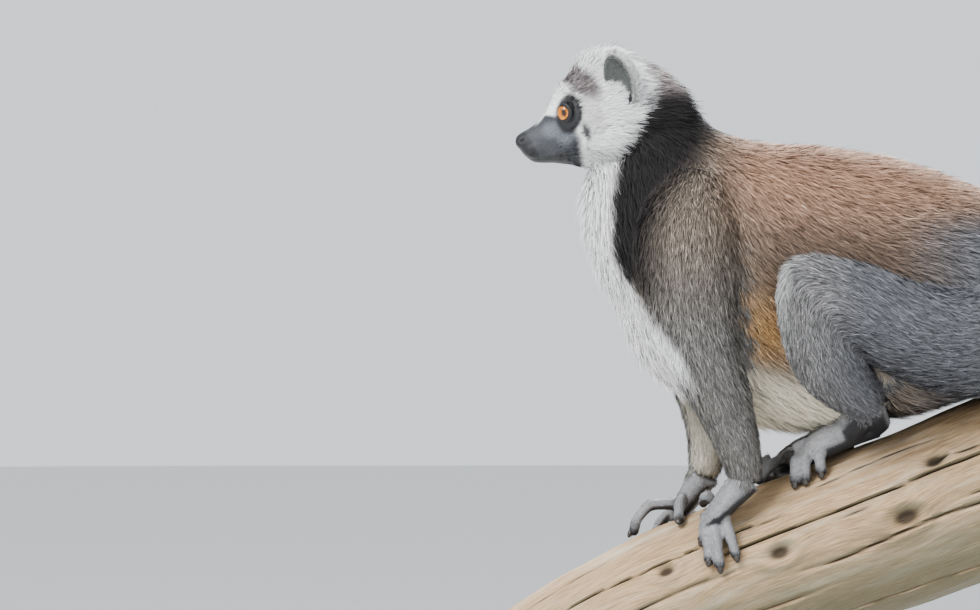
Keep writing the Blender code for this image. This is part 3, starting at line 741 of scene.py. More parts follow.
rows = [(s, top - deep, low + deep, width - deep) for s, top, low, width, deep in HEAD_PROFILE]
head_rings = []
for s, top, low, width in smooth_rows(rows, 3):
    centre = Vector((s, 0, (top + low) / 2)) * MM
    ring = ring_matrix(centre, Vector((0, width * MM, 0)), Vector((0, 0, (top - low) / 2 * MM)))
    head_rings.append(HEAD @ ring)
head_forms = [form("head", head_rings, 36)]
head_forms.append(ball((3.6, 0, -2.6), (4.4, 5.6, 4.6), HEAD))  # nose leather
for side in SIDES.values():
    head_forms.append(ball((2.9, side * 3.3, -3.4), (3.2, 3.1, 3.6), HEAD))  # wing of the nostril
    head_forms.append(ball((40, side * 17, 15), (8, 5, 5), HEAD))  # brow
    head_forms.append(ball((58, side * 22, -16), (18, 12.5, 12.5), HEAD))  # cheek
    head_forms.append(ball((12, side * 5.0, -9.5), (9.5, 5.2, 6.6), HEAD))  # upper lip
    head_forms.append(lid_ring(side))
head_mesh = fused(head_forms, 1.0, 2)
sockets = [ball((0, 0, 0), (EYE_RADIUS + 0.05,) * 3, eye_frame(side), 48, 32) for side in SIDES.values()]
openings = [ball((0, 0, 9.6), (5.9, 5.2, 6.4), eye_frame(side), 40, 24) for side in SIDES.values()]
head_mesh = boolean(head_mesh, sockets + openings, "DIFFERENCE")


def furrow(mesh, path, width, depth, matrix):
    """Press a groove into the mesh along a path of places in the given frame, mm."""
    points = np.array([vert.co for vert in mesh.vertices])
    normals = np.array([vert.normal for vert in mesh.vertices])
    path = np.array([tuple(matrix @ (Vector(place) * MM)) for place in path])
    near = np.full(len(points), 9.0)
    for start, end in zip(path, path[1:]):
        run = end - start
        share = np.clip((points - start) @ run / (run @ run), 0, 1)
        near = np.minimum(near, np.linalg.norm(points - start - share[:, None] * run, axis=1))
    points -= normals * (depth * MM * np.exp(-((near / (width * MM)) ** 2)))[:, None]
    mesh.vertices.foreach_set("co", points.ravel())
    mesh.update()


LIPS = (
    (4.5, 3.4, -10.2), (8, 9.4, -13.2), (14, 11, -14.2), (20, 13.5, -13.6), (26, 17, -13.2),
    (31, 21, -13), (36, 25, -13.6),
)
NOSTRIL = ((0.8, 2.6, -2.6), (2.4, 5.4, -2.2), (4.0, 7.0, -0.6))
for side in SIDES.values():
    furrow(head_mesh, smooth_rows([(s, side * u, t) for s, u, t in LIPS], 4), 0.9, 1.1, HEAD)
    furrow(head_mesh, smooth_rows([(s, side * u, t) for s, u, t in NOSTRIL], 4), 0.95, 1.5, HEAD)
furrow(head_mesh, [(-1, 0, -2), (0.5, 0, -9.5)], 0.6, 0.7, HEAD)

# The ears: thin cups with a rolled rim, open to the front and the side.
ear_meshes = []
for side in SIDES.values():
    shell = ball((0, 0, 0), EAR_SIZE, ear_frame(side), 48, 32)
    hollow = ball((8.6, 0, 1), (10.6, 10.9, 19.2), ear_frame(side), 48, 32)
    ear_meshes.append(fused([boolean(shell, [hollow], "DIFFERENCE")], 0.9, 2))
ear_points = np.concatenate([np.array([vert.co for vert in ear.vertices])[::7] for ear in ear_meshes])
lie_place.append(ear_points)
lie_along.append(np.tile(np.array(HEAD.to_3x3() @ Vector((0.3, 0, 0.95))), (len(ear_points), 1)))
lie_region.append(np.full(len(ear_points), REGIONS.index("ear")))
lie_share.append(np.zeros(len(ear_points)))

# ---------------------------------------------------------------- the whole skin
# The bulk, the head, the ears, the hands and the feet are one surface, cut clear of the branch.
fine_parts = [head_mesh, *ear_meshes]
for name in SIDES:
    fine_parts.append(fused(hand_forms(name), 1.35, 2))
    fine_parts.append(fused(foot_forms(name), 1.35, 2))
skin_mesh = boolean(bulk, fine_parts, "UNION")
skin_mesh = boolean(skin_mesh, [extruded(branch_rings(40, -0.2), 72)], "DIFFERENCE")
bm = bmesh.new()
bm.from_mesh(skin_mesh)
bmesh.ops.triangulate(bm, faces=bm.faces)
bm.to_mesh(skin_mesh)
bm.free()
skin_mesh.shade_smooth()
skin = as_object("skin", skin_mesh)

skin_points = np.array([vert.co for vert in skin_mesh.vertices])
skin_normals = np.array([vert.normal for vert in skin_mesh.vertices])
skin_edges = np.array([edge.vertices[:] for edge in skin_mesh.edges])
skin_faces = np.array([face.vertices[:] for face in skin_mesh.polygons])
lie_place, lie_along = np.concatenate(lie_place), np.concatenate(lie_along)
lie_region, lie_share = np.concatenate(lie_region), np.concatenate(lie_share)
tree = KDTree(len(lie_place))
for i, place in enumerate(lie_place):
    tree.insert(place, i)
tree.balance()
nearest = np.array([tree.find(place)[1] for place in skin_points])
region = lie_region[nearest]
share = lie_share[nearest]


def evened(values, rounds):
    """Values at the skin's points, averaged with their neighbours."""
    values = np.array(values, float)
    count = np.zeros(len(values))
    np.add.at(count, skin_edges.ravel(), 1)
    for _ in range(rounds):
        total = np.zeros_like(values)
        np.add.at(total, skin_edges[:, 0], values[skin_edges[:, 1]])
        np.add.at(total, skin_edges[:, 1], values[skin_edges[:, 0]])
        values = 0.5 * values + 0.5 * (total.T / np.maximum(count, 1)).T
    return values


# ---------------------------------------------------------------- the eyes
# Each eye is a dark ball with an amber iris, a small round pupil and a clear wet cornea over them.
IRIS_RADIUS = 5.6
PUPIL_RADIUS = 1.45
for name, side in SIDES.items():
    bm = bmesh.new()
    bmesh.ops.create_uvsphere(bm, u_segments=64, v_segments=48, radius=EYE_RADIUS * MM)
    for vert in bm.verts:
        across = math.hypot(vert.co.x, vert.co.y) / MM
        if vert.co.z > 0 and across < IRIS_RADIUS + 0.4:
            flat = math.sqrt(EYE_RADIUS**2 - (IRIS_RADIUS + 0.4) ** 2)
            dish = 0.35 * math.cos(across / IRIS_RADIUS * 2.2)
            vert.co.z = (flat - dish) * MM if across > PUPIL_RADIUS else (flat - 0.6) * MM
    layer = bm.loops.layers.uv.new("eye")
    for face in bm.faces:
        for loop in face.loops:
            loop[layer].uv = (loop.vert.co.x / MM, loop.vert.co.y / MM)
    ball_mesh = finished(bm)
    ball_mesh.transform(eye_frame(side))
    ball_mesh.shade_smooth()
    iris = as_object(f"iris_{name}", ball_mesh)
    look = Finish(f"iris_{name}", Roughness=0.35)
    spot = look.node("ShaderNodeUVMap", uv_map="eye")
    across = look.node("ShaderNodeVectorMath", {0: spot}, operation="LENGTH", output=1)
    spot_x = look.node("ShaderNodeSeparateXYZ", {"Vector": spot})
    spot_y = look.node("ShaderNodeSeparateXYZ", {"Vector": spot}, output=1)
    turn = look.node("ShaderNodeMath", {0: spot_y, 1: spot_x}, operation="ARCTAN2")
    spokes = look.speckle(look.node("ShaderNodeCombineXYZ", {0: turn * 5.0, 1: across * 0.35}), 2.2, 4, 0.7)
    colour = (across * 0.1).ramp(
        (0.13, (0.012, 0.006, 0.004)),
        (0.16, (0.30, 0.085, 0.008)),
        (0.26, (0.78, 0.29, 0.02)),
        (0.44, (0.70, 0.25, 0.015)),
        (0.53, (0.16, 0.045, 0.008)),
        (0.58, (0.008, 0.006, 0.006)),
    )
    streaks = spokes.between(0.35, 0.65) * 0.35
    look.set("Base Color", look.mix(streaks, colour, (0.35, 0.09, 0.005), "MULTIPLY"))
    look.on(iris)
    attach(iris, "root")
    bm = bmesh.new()
    bmesh.ops.create_uvsphere(bm, u_segments=48, v_segments=32, radius=EYE_RADIUS * MM)
    for vert in bm.verts:
        across = math.hypot(vert.co.x, vert.co.y) / MM
        lift = 1.0 * max(0.0, 1 - (across / (IRIS_RADIUS + 0.6)) ** 2) if vert.co.z > 0 else 0
        vert.co.z += (lift + 0.06) * MM
    low = [vert for vert in bm.verts if vert.co.z < 2 * MM]
    bmesh.ops.delete(bm, geom=low, context="VERTS")
    cornea_mesh = finished(bm)
    cornea_mesh.transform(eye_frame(side))
    cornea_mesh.shade_smooth()
    cornea = as_object(f"cornea_{name}", cornea_mesh)
    clear = Finish(f"cornea_{name}", Roughness=0.02, IOR=1.36, Transmission_Weight=1.0, Base_Color=(1, 1, 1))
    clear.on(cornea)
    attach(cornea, "root")
    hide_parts(f"eye_{name}")

# ---------------------------------------------------------------- the claws and nails
# The second toe of each foot has a hooked grooming claw. The other digits have flat dark nails.
horn = Finish("horn", Roughness=0.3)
horn_grain = horn.speckle(horn.place((90, 90, 400)), 3, 3)
horn.set("Base Color", horn_grain.ramp((0.3, (0.018, 0.016, 0.015)), (0.7, (0.06, 0.05, 0.042))))
horn.bump(horn_grain, 0.0002, 0.3)
for name in SIDES:
    horn.on(NODES[f"claw_{name}"])
nails = []
for digits in (FINGERS, TOES):
    for name in SIDES:
        for (x0, a0), (x1, a1), arch in digits[name].values():
            tip = Vector(on_branch(x1, a1, 3.6))
            back = Vector(on_branch(x0 + 0.82 * (x1 - x0), a0 + 0.82 * (a1 - a0), 0.7 * arch))
            along = (tip - back).normalized()
            out = (tip - branch_axis(x1)[0]).normalized()
            out = (out - along * out.dot(along)).normalized()
            place = Matrix((along, out.cross(along), out)).transposed().to_4x4()
            place.translation = (tip + along * 1.6 + out * 2.2) * MM
            nails.append(ball((0, 0, 0), (3.1, 2.2, 1.5), place, 16, 10))
nail_piece = as_object("nails", joined(nails))
nail_piece.data.shade_smooth()
horn.on(nail_piece)
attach(nail_piece, "root")

# ---------------------------------------------------------------- the markings
# One set of markings for skin and coat: white face, throat and belly, black muzzle and eye patches,
# charcoal shoulder band, brown back, grey limbs and rump, and a tail ringed black and white.
WHITE = np.array((0.78, 0.78, 0.78))
CREAM = np.array((0.70, 0.65, 0.54))
BLACK = np.array((0.012, 0.0125, 0.015))
CHARCOAL = np.array((0.030, 0.028, 0.029))
BACK = np.array((0.37, 0.235, 0.165))
FLANK = np.array((0.155, 0.115, 0.09))
SHOULDER = np.array((0.20, 0.165, 0.135))
ARM = np.array((0.16, 0.155, 0.148))
HAUNCH = np.array((0.135, 0.138, 0.15))
RUST = np.array((0.36, 0.22, 0.10))
HAND = np.array((0.24, 0.24, 0.245))
NAPE = np.array((0.20, 0.175, 0.17))
CAP = np.array((0.13, 0.11, 0.11))
MUZZLE = np.array((0.045, 0.048, 0.055))
EAR_INSIDE = np.array((0.12, 0.13, 0.125))
TAIL_PAIRS = 13.5
# By height: the x where the white of the neck ends behind, and where the charcoal band ends.
WHITE_EDGE = (
    (380, -82), (394, -96), (427, -112), (445, -127), (470, -141), (475, -147), (490, -154), (530, -154),
    (546, -151), (566, -140), (592, -126), (603, -123.5), (615, -129), (625, -140), (640, -160),
)
BAND_EDGE = (
    (440, -135), (483, -138), (505, -136), (533, -126), (553, -104), (584, -86), (610, -84),
    (640, -90),
)
# The belly's upper edge by x, and the muzzle's rear edge by height in the head frame.
BELLY_EDGE = ((-140, 430), (-104, 420), (-44, 402), (24, 404), (84, 412), (140, 425))
MUZZLE_EDGE = (
    (-30, 34), (-24, 34), (-16, 35), (-10, 35), (-4, 33), (2, 30), (6, 27), (9, 22), (12, 13),
    (20, 8),
)


def step(low, high, value):
    share = np.clip((value - low) / (high - low), 0, 1)
    return share * share * (3 - 2 * share)


def by(table, value):
    return np.interp(value, *np.array(table, float).T)


def over(base, colour, share):
    return base + (colour - base) * np.clip(share, 0, 1)[:, None]


def patch(s, t, centre, sizes, soft=0.25):
    """An oval patch with soft edges."""
    reach = np.hypot((s - centre[0]) / sizes[0], (t - centre[1]) / sizes[1])
    return 1 - step(1 - soft, 1 + soft, reach)


def in_frame(matrix, points):
    """Places in a frame, in mm."""
    inverse = np.array(matrix.inverted())
    return (points @ inverse[:3, :3].T + inverse[:3, 3]).T / MM


def markings(points, normals, region, share):
    """The coat's colour at places on the animal, in metres."""
    x, y, z = points.T / MM
    aside = np.abs(y)
    plain = np.ones((len(x), 1))
    here = {name: region == i for i, name in enumerate(REGIONS)}
    # the trunk
    edge, rear = by(WHITE_EDGE, z), by(BAND_EDGE, z)
    white = 1 - step(edge - 3.5, edge + 3.5, x)
    band = step(edge - 3, edge + 3, x) * (1 - step(rear - 8, rear + 26, x)) * step(440, 480, z)
    colour = over(SHOULDER * plain, FLANK, step(-90, -40, x) * step(430, 480, z))
    saddle = step(490, 552, z + 0.10 * aside) * step(-100, -50, x) * (1 - 0.35 * step(60, 130, x))
    colour = over(colour, BACK, saddle)
    colour = over(colour, HAUNCH, step(20, 90, x) * (1 - step(500, 530, z)))
    arm = over(colour, ARM, 1 - step(430, 520, z))
    colour = over(colour, RUST, np.exp(-(((x + 52) / 18) ** 2) - ((z - 440) / 24) ** 2) * 0.9)
    belly = by(BELLY_EDGE, x)
    cream = (1 - step(belly - 4, belly + 20, z)) * step(-110, -80, x) * (1 - step(8, 40, x))
    colour = over(colour, CREAM, cream)
    colour = over(colour, NAPE, step(575, 600, z) * step(rear - 30, rear, x))
    colour = over(colour, CHARCOAL, band * (1 - 0.55 * step(590, 606, z)))
    colour = over(colour, WHITE, white)
    # the limbs
    inner = step(0.1, 0.8, -normals[:, 1] * np.sign(y)) * 0.75
    arm = over(over(arm, CHARCOAL, band), WHITE, white * step(395, 420, z))
    arm = over(arm, CREAM, inner * 0.8)
    leg = over(HAUNCH * plain, ARM * 1.35, (1 - step(-28, 10, x)) * 0.5)
    # painted highlight: the knee's faces turned forward and up are lightened towards white
    knee = step(0.45, 0.95, -normals[:, 0] * 0.9 + normals[:, 2] * 0.5) * (1 - step(0, 45, x))
    leg = over(over(leg, WHITE * 0.7, knee * 0.7), CREAM, inner)
    for name, value in (("upper_arm", arm), ("forearm", arm), ("thigh", leg), ("shank", leg)):
        colour = np.where(here[name][:, None], value, colour)
    # the hands and feet: pale grey backs, dark fingertips and palms
    paw = over(HAND * plain, BLACK * 2, step(0.62, 0.85, share))
    paw = over(paw, BLACK * 2, step(0.1, 0.5, -normals[:, 2]))
    colour = np.where((here["hand"] | here["foot"])[:, None], paw, colour)
    # the tail
    ring = share * TAIL_PAIRS % 1
    tail = over(WHITE * 0.92 * plain, BLACK, step(0.42, 0.50, ring) * (1 - step(0.93, 1.0, ring)))
    tail = over(tail, BLACK, step(0.955, 0.965, share))
    colour = np.where(here["tail"][:, None], over(HAUNCH * plain, tail, step(0.10, 0.15, share)), colour)
    # the head
    s, u, t = in_frame(HEAD, points)
    u = np.abs(u)
    head = over(WHITE * plain, ARM * 1.6, patch(s, t, (50, 2), (8, 16)) * 0.35)
    head = over(head, CAP, patch(s - 0.45 * (30 - t) + 6, t, (54, 27), (8.5, 16), 0.3) * 0.92)
    head = over(head, NAPE, (1 - step(5, 11, u)) * step(60, 70, s) * step(10, 20, t) * 0.85)
    head = over(head, MUZZLE, 1 - step(0, 6, s - by(MUZZLE_EDGE, t)))
    head = over(head, MUZZLE * 3.8, patch(s, t, (24, -1), (6, 5), 0.6) * step(5, 9, u) * 0.6)
    head = over(head, MUZZLE * 3.5, patch(s, t, (31, -8), (5.5, 5), 0.6) * 0.75)
    head = over(head, WHITE * 0.75, (1 - step(3.0, 6.0, u)) * step(13, 20, s) * step(0, 4, t))
    head = over(head, BLACK, patch(s - 0.22 * (t - 8), t, (37.4, 6.2), (8.8, 12.8), 0.16) * step(6, 10, u))
    head = over(head, BLACK * 2, patch(s, t, (43.6, -8.5), (2.2, 5.6), 0.5) * 0.9)
    head = over(head, BLACK, 1 - step(6.5, 9.5, s + 0.2 * t))
    head = over(head, BLACK * 1.3, (1 - step(-19, -15, t)) * (1 - step(28, 35, s)))
    head = over(over(NAPE * plain, CHARCOAL, 1 - step(590, 604, z)), head, white)
    colour = np.where(here["head"][:, None], head, colour)
    # the ears: white outside, short grey hair and a black base inside
    ear = WHITE * plain
    for side in SIDES.values():
        _, across, up = in_frame(ear_frame(side), points)
        this = y * side > 0
        facing = normals @ np.array(ear_frame(side).to_3x3() @ Vector((1, 0, 0))) > -0.1
        inside = (np.hypot(across / 11.3, (up - 1) / 19.4) < 1) & this & facing
        ear = over(ear, EAR_INSIDE, inside)
        ear = over(ear, BLACK, inside * (1 - step(-8, -3, up + 0.3 * across)))
        rim = np.exp(-(((np.hypot(across / 12.0, up / 20.4) - 1) / 0.07) ** 2)) * facing * this
        ear = over(ear, CHARCOAL * 1.6, rim * 0.7)
    return np.where(here["ear"][:, None], ear, colour)


def painted(mesh, name, colours):
    """A colour at each point of a mesh."""
    layer = mesh.color_attributes.new(name, "FLOAT_COLOR", "POINT")
    rows = np.concatenate([colours, np.ones((len(colours), 1))], 1).astype(np.float32)
    layer.data.foreach_set("color", rows.ravel())


painted(skin_mesh, "coat_colour", markings(skin_points, skin_normals, region, share))
hide = Finish("skin", Roughness=0.55)
nap = hide.speckle(hide.place(), 900, 3)
pores = hide.node("ShaderNodeTexVoronoi", {"Vector": hide.place(), "Scale": 1500.0})
nap_shade = nap.between(0.3, 0.7) * 0.5
hide.set("Base Color", hide.mix(nap_shade, hide.attribute("coat_colour"), (0.45, 0.45, 0.45), "MULTIPLY"))
hide.bump(nap * 0.6 + pores * 0.4, 0.0006, 0.6)
hide.on(skin)
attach(skin, "root")
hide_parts(*[name for name in NODES if not name.startswith(("stand_", "eye_", "claw_"))])

# ---------------------------------------------------------------- how the coat lies
# At each point of the skin: which way the hair runs, how long it is, how far it stands up, how
# wide a blade is and how many tufts grow. By region: length, lift in degrees, width, tufts to a mm2.
COAT = {
    "trunk": (14.5, 30, 0.42, 0.35),
    "head": (7, 24, 0.30, 1.0),
    "ear": (3.5, 28, 0.24, 1.4),
    "upper_arm": (10, 28, 0.38, 0.38),
    "forearm": (6.5, 24, 0.32, 0.55),
    "hand": (2.8, 18, 0.22, 0.8),
    "thigh": (10.5, 28, 0.38, 0.36),
    "shank": (7.5, 25, 0.34, 0.48),
    "foot": (2.8, 18, 0.22, 0.8),
    "tail": (24, 44, 0.55, 0.42),
}
length, lift, thick, dense = np.array([COAT[name] for name in REGIONS])[region].T
flow = lie_along[nearest].copy()
s, u, t = in_frame(HEAD, skin_points)
x, y, z = skin_points.T / MM
aside = np.sign(y)
on_head, is_ear, is_trunk = (region == REGIONS.index(name) for name in ("head", "ear", "trunk"))
# the head: from the nose back, up over the crown and down the cheeks
head_axes = np.array(HEAD.to_3x3())
crown = step(24, 34, t) * step(40, 55, s)
cheek = step(40, 60, s) * (1 - step(-20, 5, t))
head_flow = np.outer(1 + 0 * s, head_axes[:, 0]) + np.outer(0.9 * crown - 0.55 * cheek, head_axes[:, 2])
head_flow += np.outer(aside * (0.35 * step(20, 40, s)), head_axes[:, 1])
flow[on_head] = head_flow[on_head]
HEAD_HAIR = ((0, 0.9), (8, 1.3), (18, 2.0), (28, 2.8), (38, 5), (50, 8), (64, 10), (80, 12), (110, 14))
head_length = by(HEAD_HAIR, s)
head_length *= 1 + 0.25 * crown + 0.35 * cheek * step(50, 70, s)
head_lift = by(((0, 12), (20, 14), (40, 20), (60, 28), (110, 28)), s) + 26 * crown + 6 * cheek
length = np.where(on_head, head_length, length)
lift = np.where(on_head, head_lift, lift)
thick = np.where(on_head, by(((0, 0.16), (20, 0.22), (45, 0.34), (80, 0.42)), s), thick)
dense = np.where(on_head, by(((0, 2.4), (20, 1.8), (40, 1.2), (60, 0.85), (110, 0.6)), s), dense)
bare = on_head & ((s < 5.5) | (np.hypot(s - 3, t + 3) < 6))
# the trunk: backwards, drooping on the flanks, and longer and looser on the chest and belly
droop = step(0.2, 0.9, np.abs(skin_normals[:, 1]))
flow[is_trunk] += np.outer(-0.35 * droop, (0, 0, 1))[is_trunk]
chest = is_trunk * (1 - step(by(WHITE_EDGE, z), by(WHITE_EDGE, z) + 10, x))
belly = is_trunk * step(0.3, 0.9, -skin_normals[:, 2]) * step(-100, -60, x)
length = length + 3 * chest + 4 * belly
lift = lift + 8 * chest + 4 * belly
# the ears: short inside, with a longer fringe round the rim and up the back
for side in SIDES.values():
    _, across, up = in_frame(ear_frame(side), skin_points)
    reach = np.hypot(across / 12.5, up / 21)
    this = is_ear & (y * side > 0)
    facing = skin_normals @ np.array(ear_frame(side).to_3x3() @ Vector((1, 0, 0))) > 0.1
    out = np.stack([0 * up - 2, across, up], 1) @ np.array(ear_frame(side).to_3x3()).T
    out /= np.maximum(np.linalg.norm(out, axis=1), 1e-9)[:, None]
    flow[this] = out[this] * 0.7 + head_axes[:, 2] * 0.5 + head_axes[:, 0] * 0.25
    length = np.where(this, np.where(facing, 2.2, 5.5 + 2.5 * step(0.7, 1.0, reach)), length)
    lift = np.where(this & ~facing, 26, lift)
# the eyes stay clear, and the hair there points away from them
eye_gap = np.full(len(s), 99.0)
for side in SIDES.values():
    place = in_frame(eye_frame(side), skin_points).T
    near = np.where(place[:, 2] > 1.0, np.hypot(place[:, 0], place[:, 1]), 99)
    eye_gap = np.minimum(eye_gap, near)
    away = place * (1, 1, 0) @ np.array(eye_frame(side).to_3x3()).T
    away /= np.maximum(np.linalg.norm(away, axis=1), 1e-9)[:, None]
    flow = flow + away * ((1 - step(8, 15, near)) * 1.2)[:, None]
    length = np.where(near < 14, np.minimum(length, 1.3 + 0.35 * np.maximum(near - 8, 0)), length)
bare |= eye_gap < 8.0
flow -= skin_normals * (flow * skin_normals).sum(1)[:, None]
flow /= np.maximum(np.linalg.norm(flow, axis=1), 1e-9)[:, None]
flow = evened(flow, 30)
length, lift, thick, dense = (evened(value, 6) for value in (length, lift, thick, dense))
paw = (region == REGIONS.index("hand")) | (region == REGIONS.index("foot"))
bare |= paw & ((share > 0.86) | (skin_normals[:, 2] < -0.45))
dense = np.where(bare, 0, dense)

# A coarse copy of the skin is unwrapped, and a tuft's patch lies where its root is on that unwrap.
coarse = as_object("unwrap", skin_mesh.copy())
coarse.modifiers.new("Decimate", "DECIMATE").ratio = 0.05
coarse = as_object("unwrap", evaluated(coarse))
bpy.context.view_layer.objects.active = coarse
coarse.select_set(True)
bpy.ops.object.mode_set(mode="EDIT")
bpy.ops.mesh.select_all(action="SELECT")
bpy.ops.uv.smart_project(angle_limit=math.radians(66), island_margin=0.002)
bpy.ops.object.mode_set(mode="OBJECT")
flat_faces = np.array([face.vertices[:3] for face in coarse.data.polygons])
flat_starts = np.array([face.loop_start for face in coarse.data.polygons])
flat_uv = np.array([tuple(corner.uv) for corner in coarse.data.uv_layers.active.data])
flat_points = np.array([vert.co for vert in coarse.data.vertices])
finder = BVHTree.FromPolygons(flat_points.tolist(), flat_faces.tolist())
bpy.data.objects.remove(coarse)


def on_unwrap(places):
    found = [finder.find_nearest(place)[2] for place in places]
    a, b, c = (flat_points[flat_faces[found, k]] for k in range(3))
    first, second, offset = b - a, c - a, places - a
    d00, d01, d11 = (first * first).sum(1), (first * second).sum(1), (second * second).sum(1)
    d20, d21 = (offset * first).sum(1), (offset * second).sum(1)
    scale = np.maximum(d00 * d11 - d01 * d01, 1e-18)
    v, w = np.clip((d11 * d20 - d01 * d21) / scale, 0, 1), np.clip((d00 * d21 - d01 * d20) / scale, 0, 1)
    base = flat_starts[found]
    return (flat_uv[base].T * (1 - v - w) + flat_uv[base + 1].T * v + flat_uv[base + 2].T * w).T


# ---------------------------------------------------------------- the coat
# Tufts of hair over the whole skin. A tuft is a few tapered blades that start a little apart and
# come together at their tips. Each blade is one small strip, repeated and bent.
def blade_shape(segments):
    """One upright blade of unit height and width with a pointed tip: its points and corner lists."""
    bm = bmesh.new()
    lift_up = Matrix.Translation((0, 0.5, 0))
    bmesh.ops.create_grid(bm, x_segments=1, y_segments=segments, size=0.5, matrix=lift_up)
    top = [vert for vert in bm.verts if vert.co.y > 0.99]
    bmesh.ops.pointmerge(bm, verts=top, merge_co=(0, 1, 0))
    bm.verts.index_update()
    shape = np.array([vert.co[:2] for vert in bm.verts])
    corners = [[vert.index for vert in face.verts] for face in bm.faces]
    bm.free()
    return shape, corners


hair = Finish("hair", Roughness=0.7, Specular_IOR_Level=0.22)
hair.set("Base Color", hair.attribute("coat_colour"))
corner_points = skin_points[skin_faces]
face_area = np.linalg.norm(
    np.cross(corner_points[:, 1] - corner_points[:, 0], corner_points[:, 2] - corner_points[:, 0]), axis=1
) / (2 * MM**2)
face_region = region[skin_faces[:, 0]]
chance = np.random.default_rng(7)


def unit(rows):
    return rows / np.maximum(np.linalg.norm(rows, axis=-1), 1e-9)[..., None]

# Across a tuft's patch on the bake map, and how far from the branch's middle line (mm) a blade's tip stays.
PATCH_SIZE = 0.003
BRANCH_CLEAR, BRANCH_SWELL = 55.3, 0.03


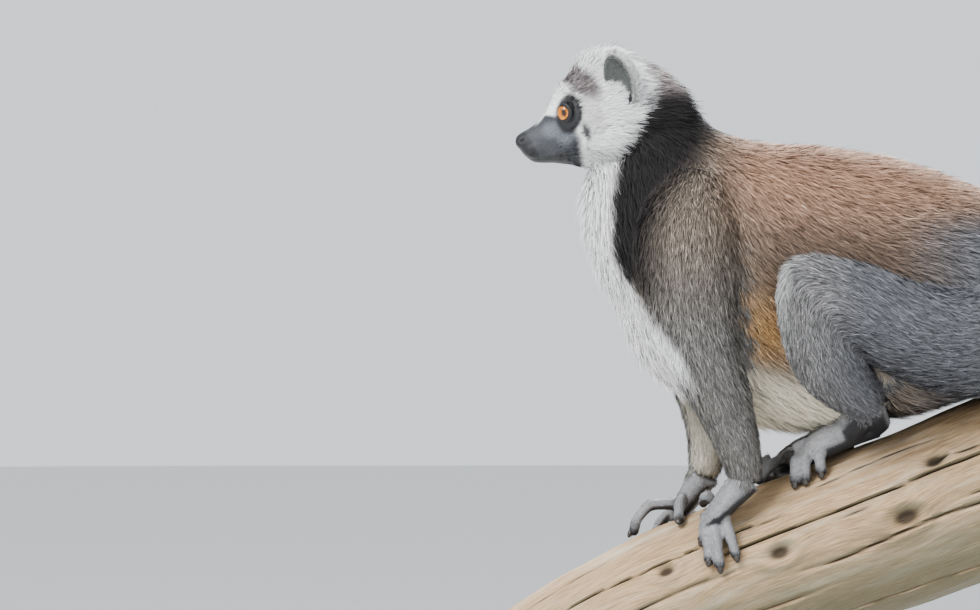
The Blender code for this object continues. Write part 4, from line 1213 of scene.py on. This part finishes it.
def coat(name, regions, segments, blades, chosen=True):
    """A piece of the coat over some regions of the skin."""
    mask = np.isin(face_region, [REGIONS.index(item) for item in regions]) & chosen
    weight = face_area * dense[skin_faces].mean(1) * mask
    count = int(weight.sum())
    steps = (np.arange(count) + chance.random(count)) * (weight.sum() / count)
    face = np.minimum(np.searchsorted(np.cumsum(weight), steps), len(weight) - 1)
    first, second = chance.random(count), chance.random(count)
    flip = first + second > 1
    first[flip], second[flip] = 1 - first[flip], 1 - second[flip]
    corners = skin_faces[face]

    def at(values):
        a, b, c = (values[corners[:, k]].T for k in range(3))
        return (a * (1 - first - second) + b * first + c * second).T

    root, normal, lie = at(skin_points), unit(at(skin_normals)), at(flow)
    lie = unit(lie - normal * (lie * normal).sum(1)[:, None])
    long, rise, wide = at(length), np.radians(at(lift)), at(thick)
    part, portion = region[corners[:, 0]], at(share)
    long = long * (0.72 + 0.5 * chance.random(count))
    rise = rise * (0.65 + 0.7 * chance.random(count))
    sway = chance.normal(0, 0.16, count)[:, None]
    lie = lie * np.cos(sway) + np.cross(normal, lie) * np.sin(sway)
    cross = np.cross(normal, lie)
    visible = root + (lie * (0.62 * long)[:, None] + normal * (0.45 * np.sin(rise) * long)[:, None]) * MM
    tail_share = np.minimum(portion + 0.62 * long * (part == REGIONS.index("tail")) / 640, 1)
    tint = markings(visible, normal, part, tail_share)
    patch_uv = on_unwrap(root)
    # the blades of each tuft
    total = count * blades
    tuft = np.repeat(np.arange(count), blades)
    spread = 0.55 / np.sqrt(np.maximum(at(dense), 0.05))[tuft]
    turn, reach = chance.random(total) * 2 * math.pi, np.sqrt(chance.random(total)) * spread
    offset = lie[tuft] * (np.cos(turn) * reach)[:, None] + cross[tuft] * (np.sin(turn) * reach)[:, None]
    start = root[tuft] + (offset - normal[tuft] * 0.35) * MM
    size = long[tuft] * (0.8 + 0.35 * chance.random(total))
    angle = (rise[tuft] + chance.normal(0, 0.07, total))[:, None]
    fan = chance.normal(0, 0.10, total)[:, None]
    heading = lie[tuft] * np.cos(fan) + cross[tuft] * np.sin(fan)
    gather = -0.55 * offset / np.maximum(size, 1)[:, None]
    rising = unit(heading * np.cos(angle) + normal[tuft] * np.sin(angle) + gather)
    bend = heading * 0.05 - normal[tuft] * (0.42 * np.sin(angle))
    roll = chance.uniform(-0.9, 0.9, total)[:, None]
    flat_side = unit(np.cross(rising, normal[tuft]))
    side = flat_side * np.cos(roll) + np.cross(rising, flat_side) * np.sin(roll)
    # blades that would run into the branch are left out
    tip = start + (rising + bend) * size[:, None] * MM
    tip_x, _, off_axis, _ = branch_place(tip / MM)
    keep = off_axis > BRANCH_CLEAR + BRANCH_SWELL * tip_x
    start, rising, bend, side, size, tuft = (value[keep] for value in (start, rising, bend, side, size, tuft))
    total = len(start)
    shape, faces = blade_shape(segments)
    across, height = shape.T
    taper = np.where(height > 0.99, 0, 1 - 0.45 * height)
    run = rising[:, None] * height[:, None] + bend[:, None] * (height**2)[:, None]
    run = start[:, None] + run * (size * MM)[:, None, None]
    run = run + side[:, None] * (across * taper)[:, None] * (wide[tuft] * MM)[:, None, None]
    # the shade varies from hair to hair and along each hair, most where the coat is grey, and painted
    # shade darkens each hair towards the root
    spotted = np.clip(1 - np.abs(tint.mean(1)[tuft] - 0.18) / 0.16, 0, 1)
    agouti = chance.random(total)
    level = chance.normal(0, 0.17, total) * (0.35 + 0.65 * spotted)
    level = np.exp(level + spotted * (0.55 * (agouti > 0.72) - 0.5 * (agouti < 0.3)))
    root_shade_and_bands = np.interp(height, (0, 0.5, 1), (0.5, 0.95, 1.15))
    bands = chance.normal(0, 0.34, (total, segments + 1))[:, np.round(height * segments).astype(int)]
    root_shade_and_bands = root_shade_and_bands * np.exp(bands * (0.25 + 0.75 * spotted)[:, None])
    shades = np.clip(tint[tuft][:, None] * (level[:, None] * root_shade_and_bands)[..., None], 0.002, 0.88)
    face_way = np.cross(side, rising)
    face_way *= np.sign((face_way * normal[tuft]).sum(1))[:, None]
    lean = (normal[tuft] + 0.35 * face_way + 0.25 * rising)[:, None] + side[:, None] * (0.5 * across)[:, None]
    # the mesh
    corner_list = np.concatenate([np.array(item) for item in faces])
    corner_index = (np.arange(total)[:, None] * len(shape) + corner_list).ravel()
    starts = np.concatenate([[0], np.cumsum(np.tile([len(item) for item in faces], total))[:-1]])
    mesh = bpy.data.meshes.new(name)
    mesh.vertices.add(total * len(shape))
    mesh.vertices.foreach_set("co", run.astype(np.float32).ravel())
    mesh.loops.add(len(corner_index))
    mesh.loops.foreach_set("vertex_index", corner_index.astype(np.int32))
    mesh.polygons.add(total * len(faces))
    mesh.polygons.foreach_set("loop_start", starts.astype(np.int32))
    mesh.update(calc_edges=True)
    mesh.shade_smooth()
    painted(mesh, "coat_colour", shades.reshape(-1, 3))
    bake = mesh.uv_layers.new(name="OFBake")
    uv = patch_uv[tuft][:, None] + np.stack([across, height - 0.5], 1) * PATCH_SIZE
    bake.data.foreach_set("uv", uv.reshape(-1, 2)[corner_index].astype(np.float32).ravel())
    mesh.normals_split_custom_set_from_vertices(unit(lean).reshape(-1, 3).astype(np.float32))
    piece = as_object(name, mesh)
    hair.on(piece)
    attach(piece, "root")


middle = corner_points.mean(1) / MM
left_side = middle[:, 1] < 0
low_tail = middle[:, 2] < 230
foretrunk = middle[:, 0] < -20
coat("coat_head", ("head",), 2, 3)
coat("coat_ears", ("ear",), 2, 3)
coat("coat_chest_left", ("trunk",), 2, 4, left_side & foretrunk)
coat("coat_chest_right", ("trunk",), 2, 4, ~left_side & foretrunk)
coat("coat_rump_left", ("trunk",), 2, 4, left_side & ~foretrunk)
coat("coat_rump_right", ("trunk",), 2, 4, ~left_side & ~foretrunk)
coat("coat_arm_left", ("upper_arm", "forearm"), 2, 4, left_side)
coat("coat_arm_right", ("upper_arm", "forearm"), 2, 4, ~left_side)
coat("coat_thigh_left", ("thigh",), 2, 4, left_side)
coat("coat_thigh_right", ("thigh",), 2, 4, ~left_side)
coat("coat_shanks", ("shank",), 2, 4)
coat("coat_hands", ("hand",), 2, 3)
coat("coat_feet", ("foot",), 2, 3)
coat("coat_tail_upper", ("tail",), 3, 4, ~low_tail)
coat("coat_tail_lower", ("tail",), 3, 4, low_tail)
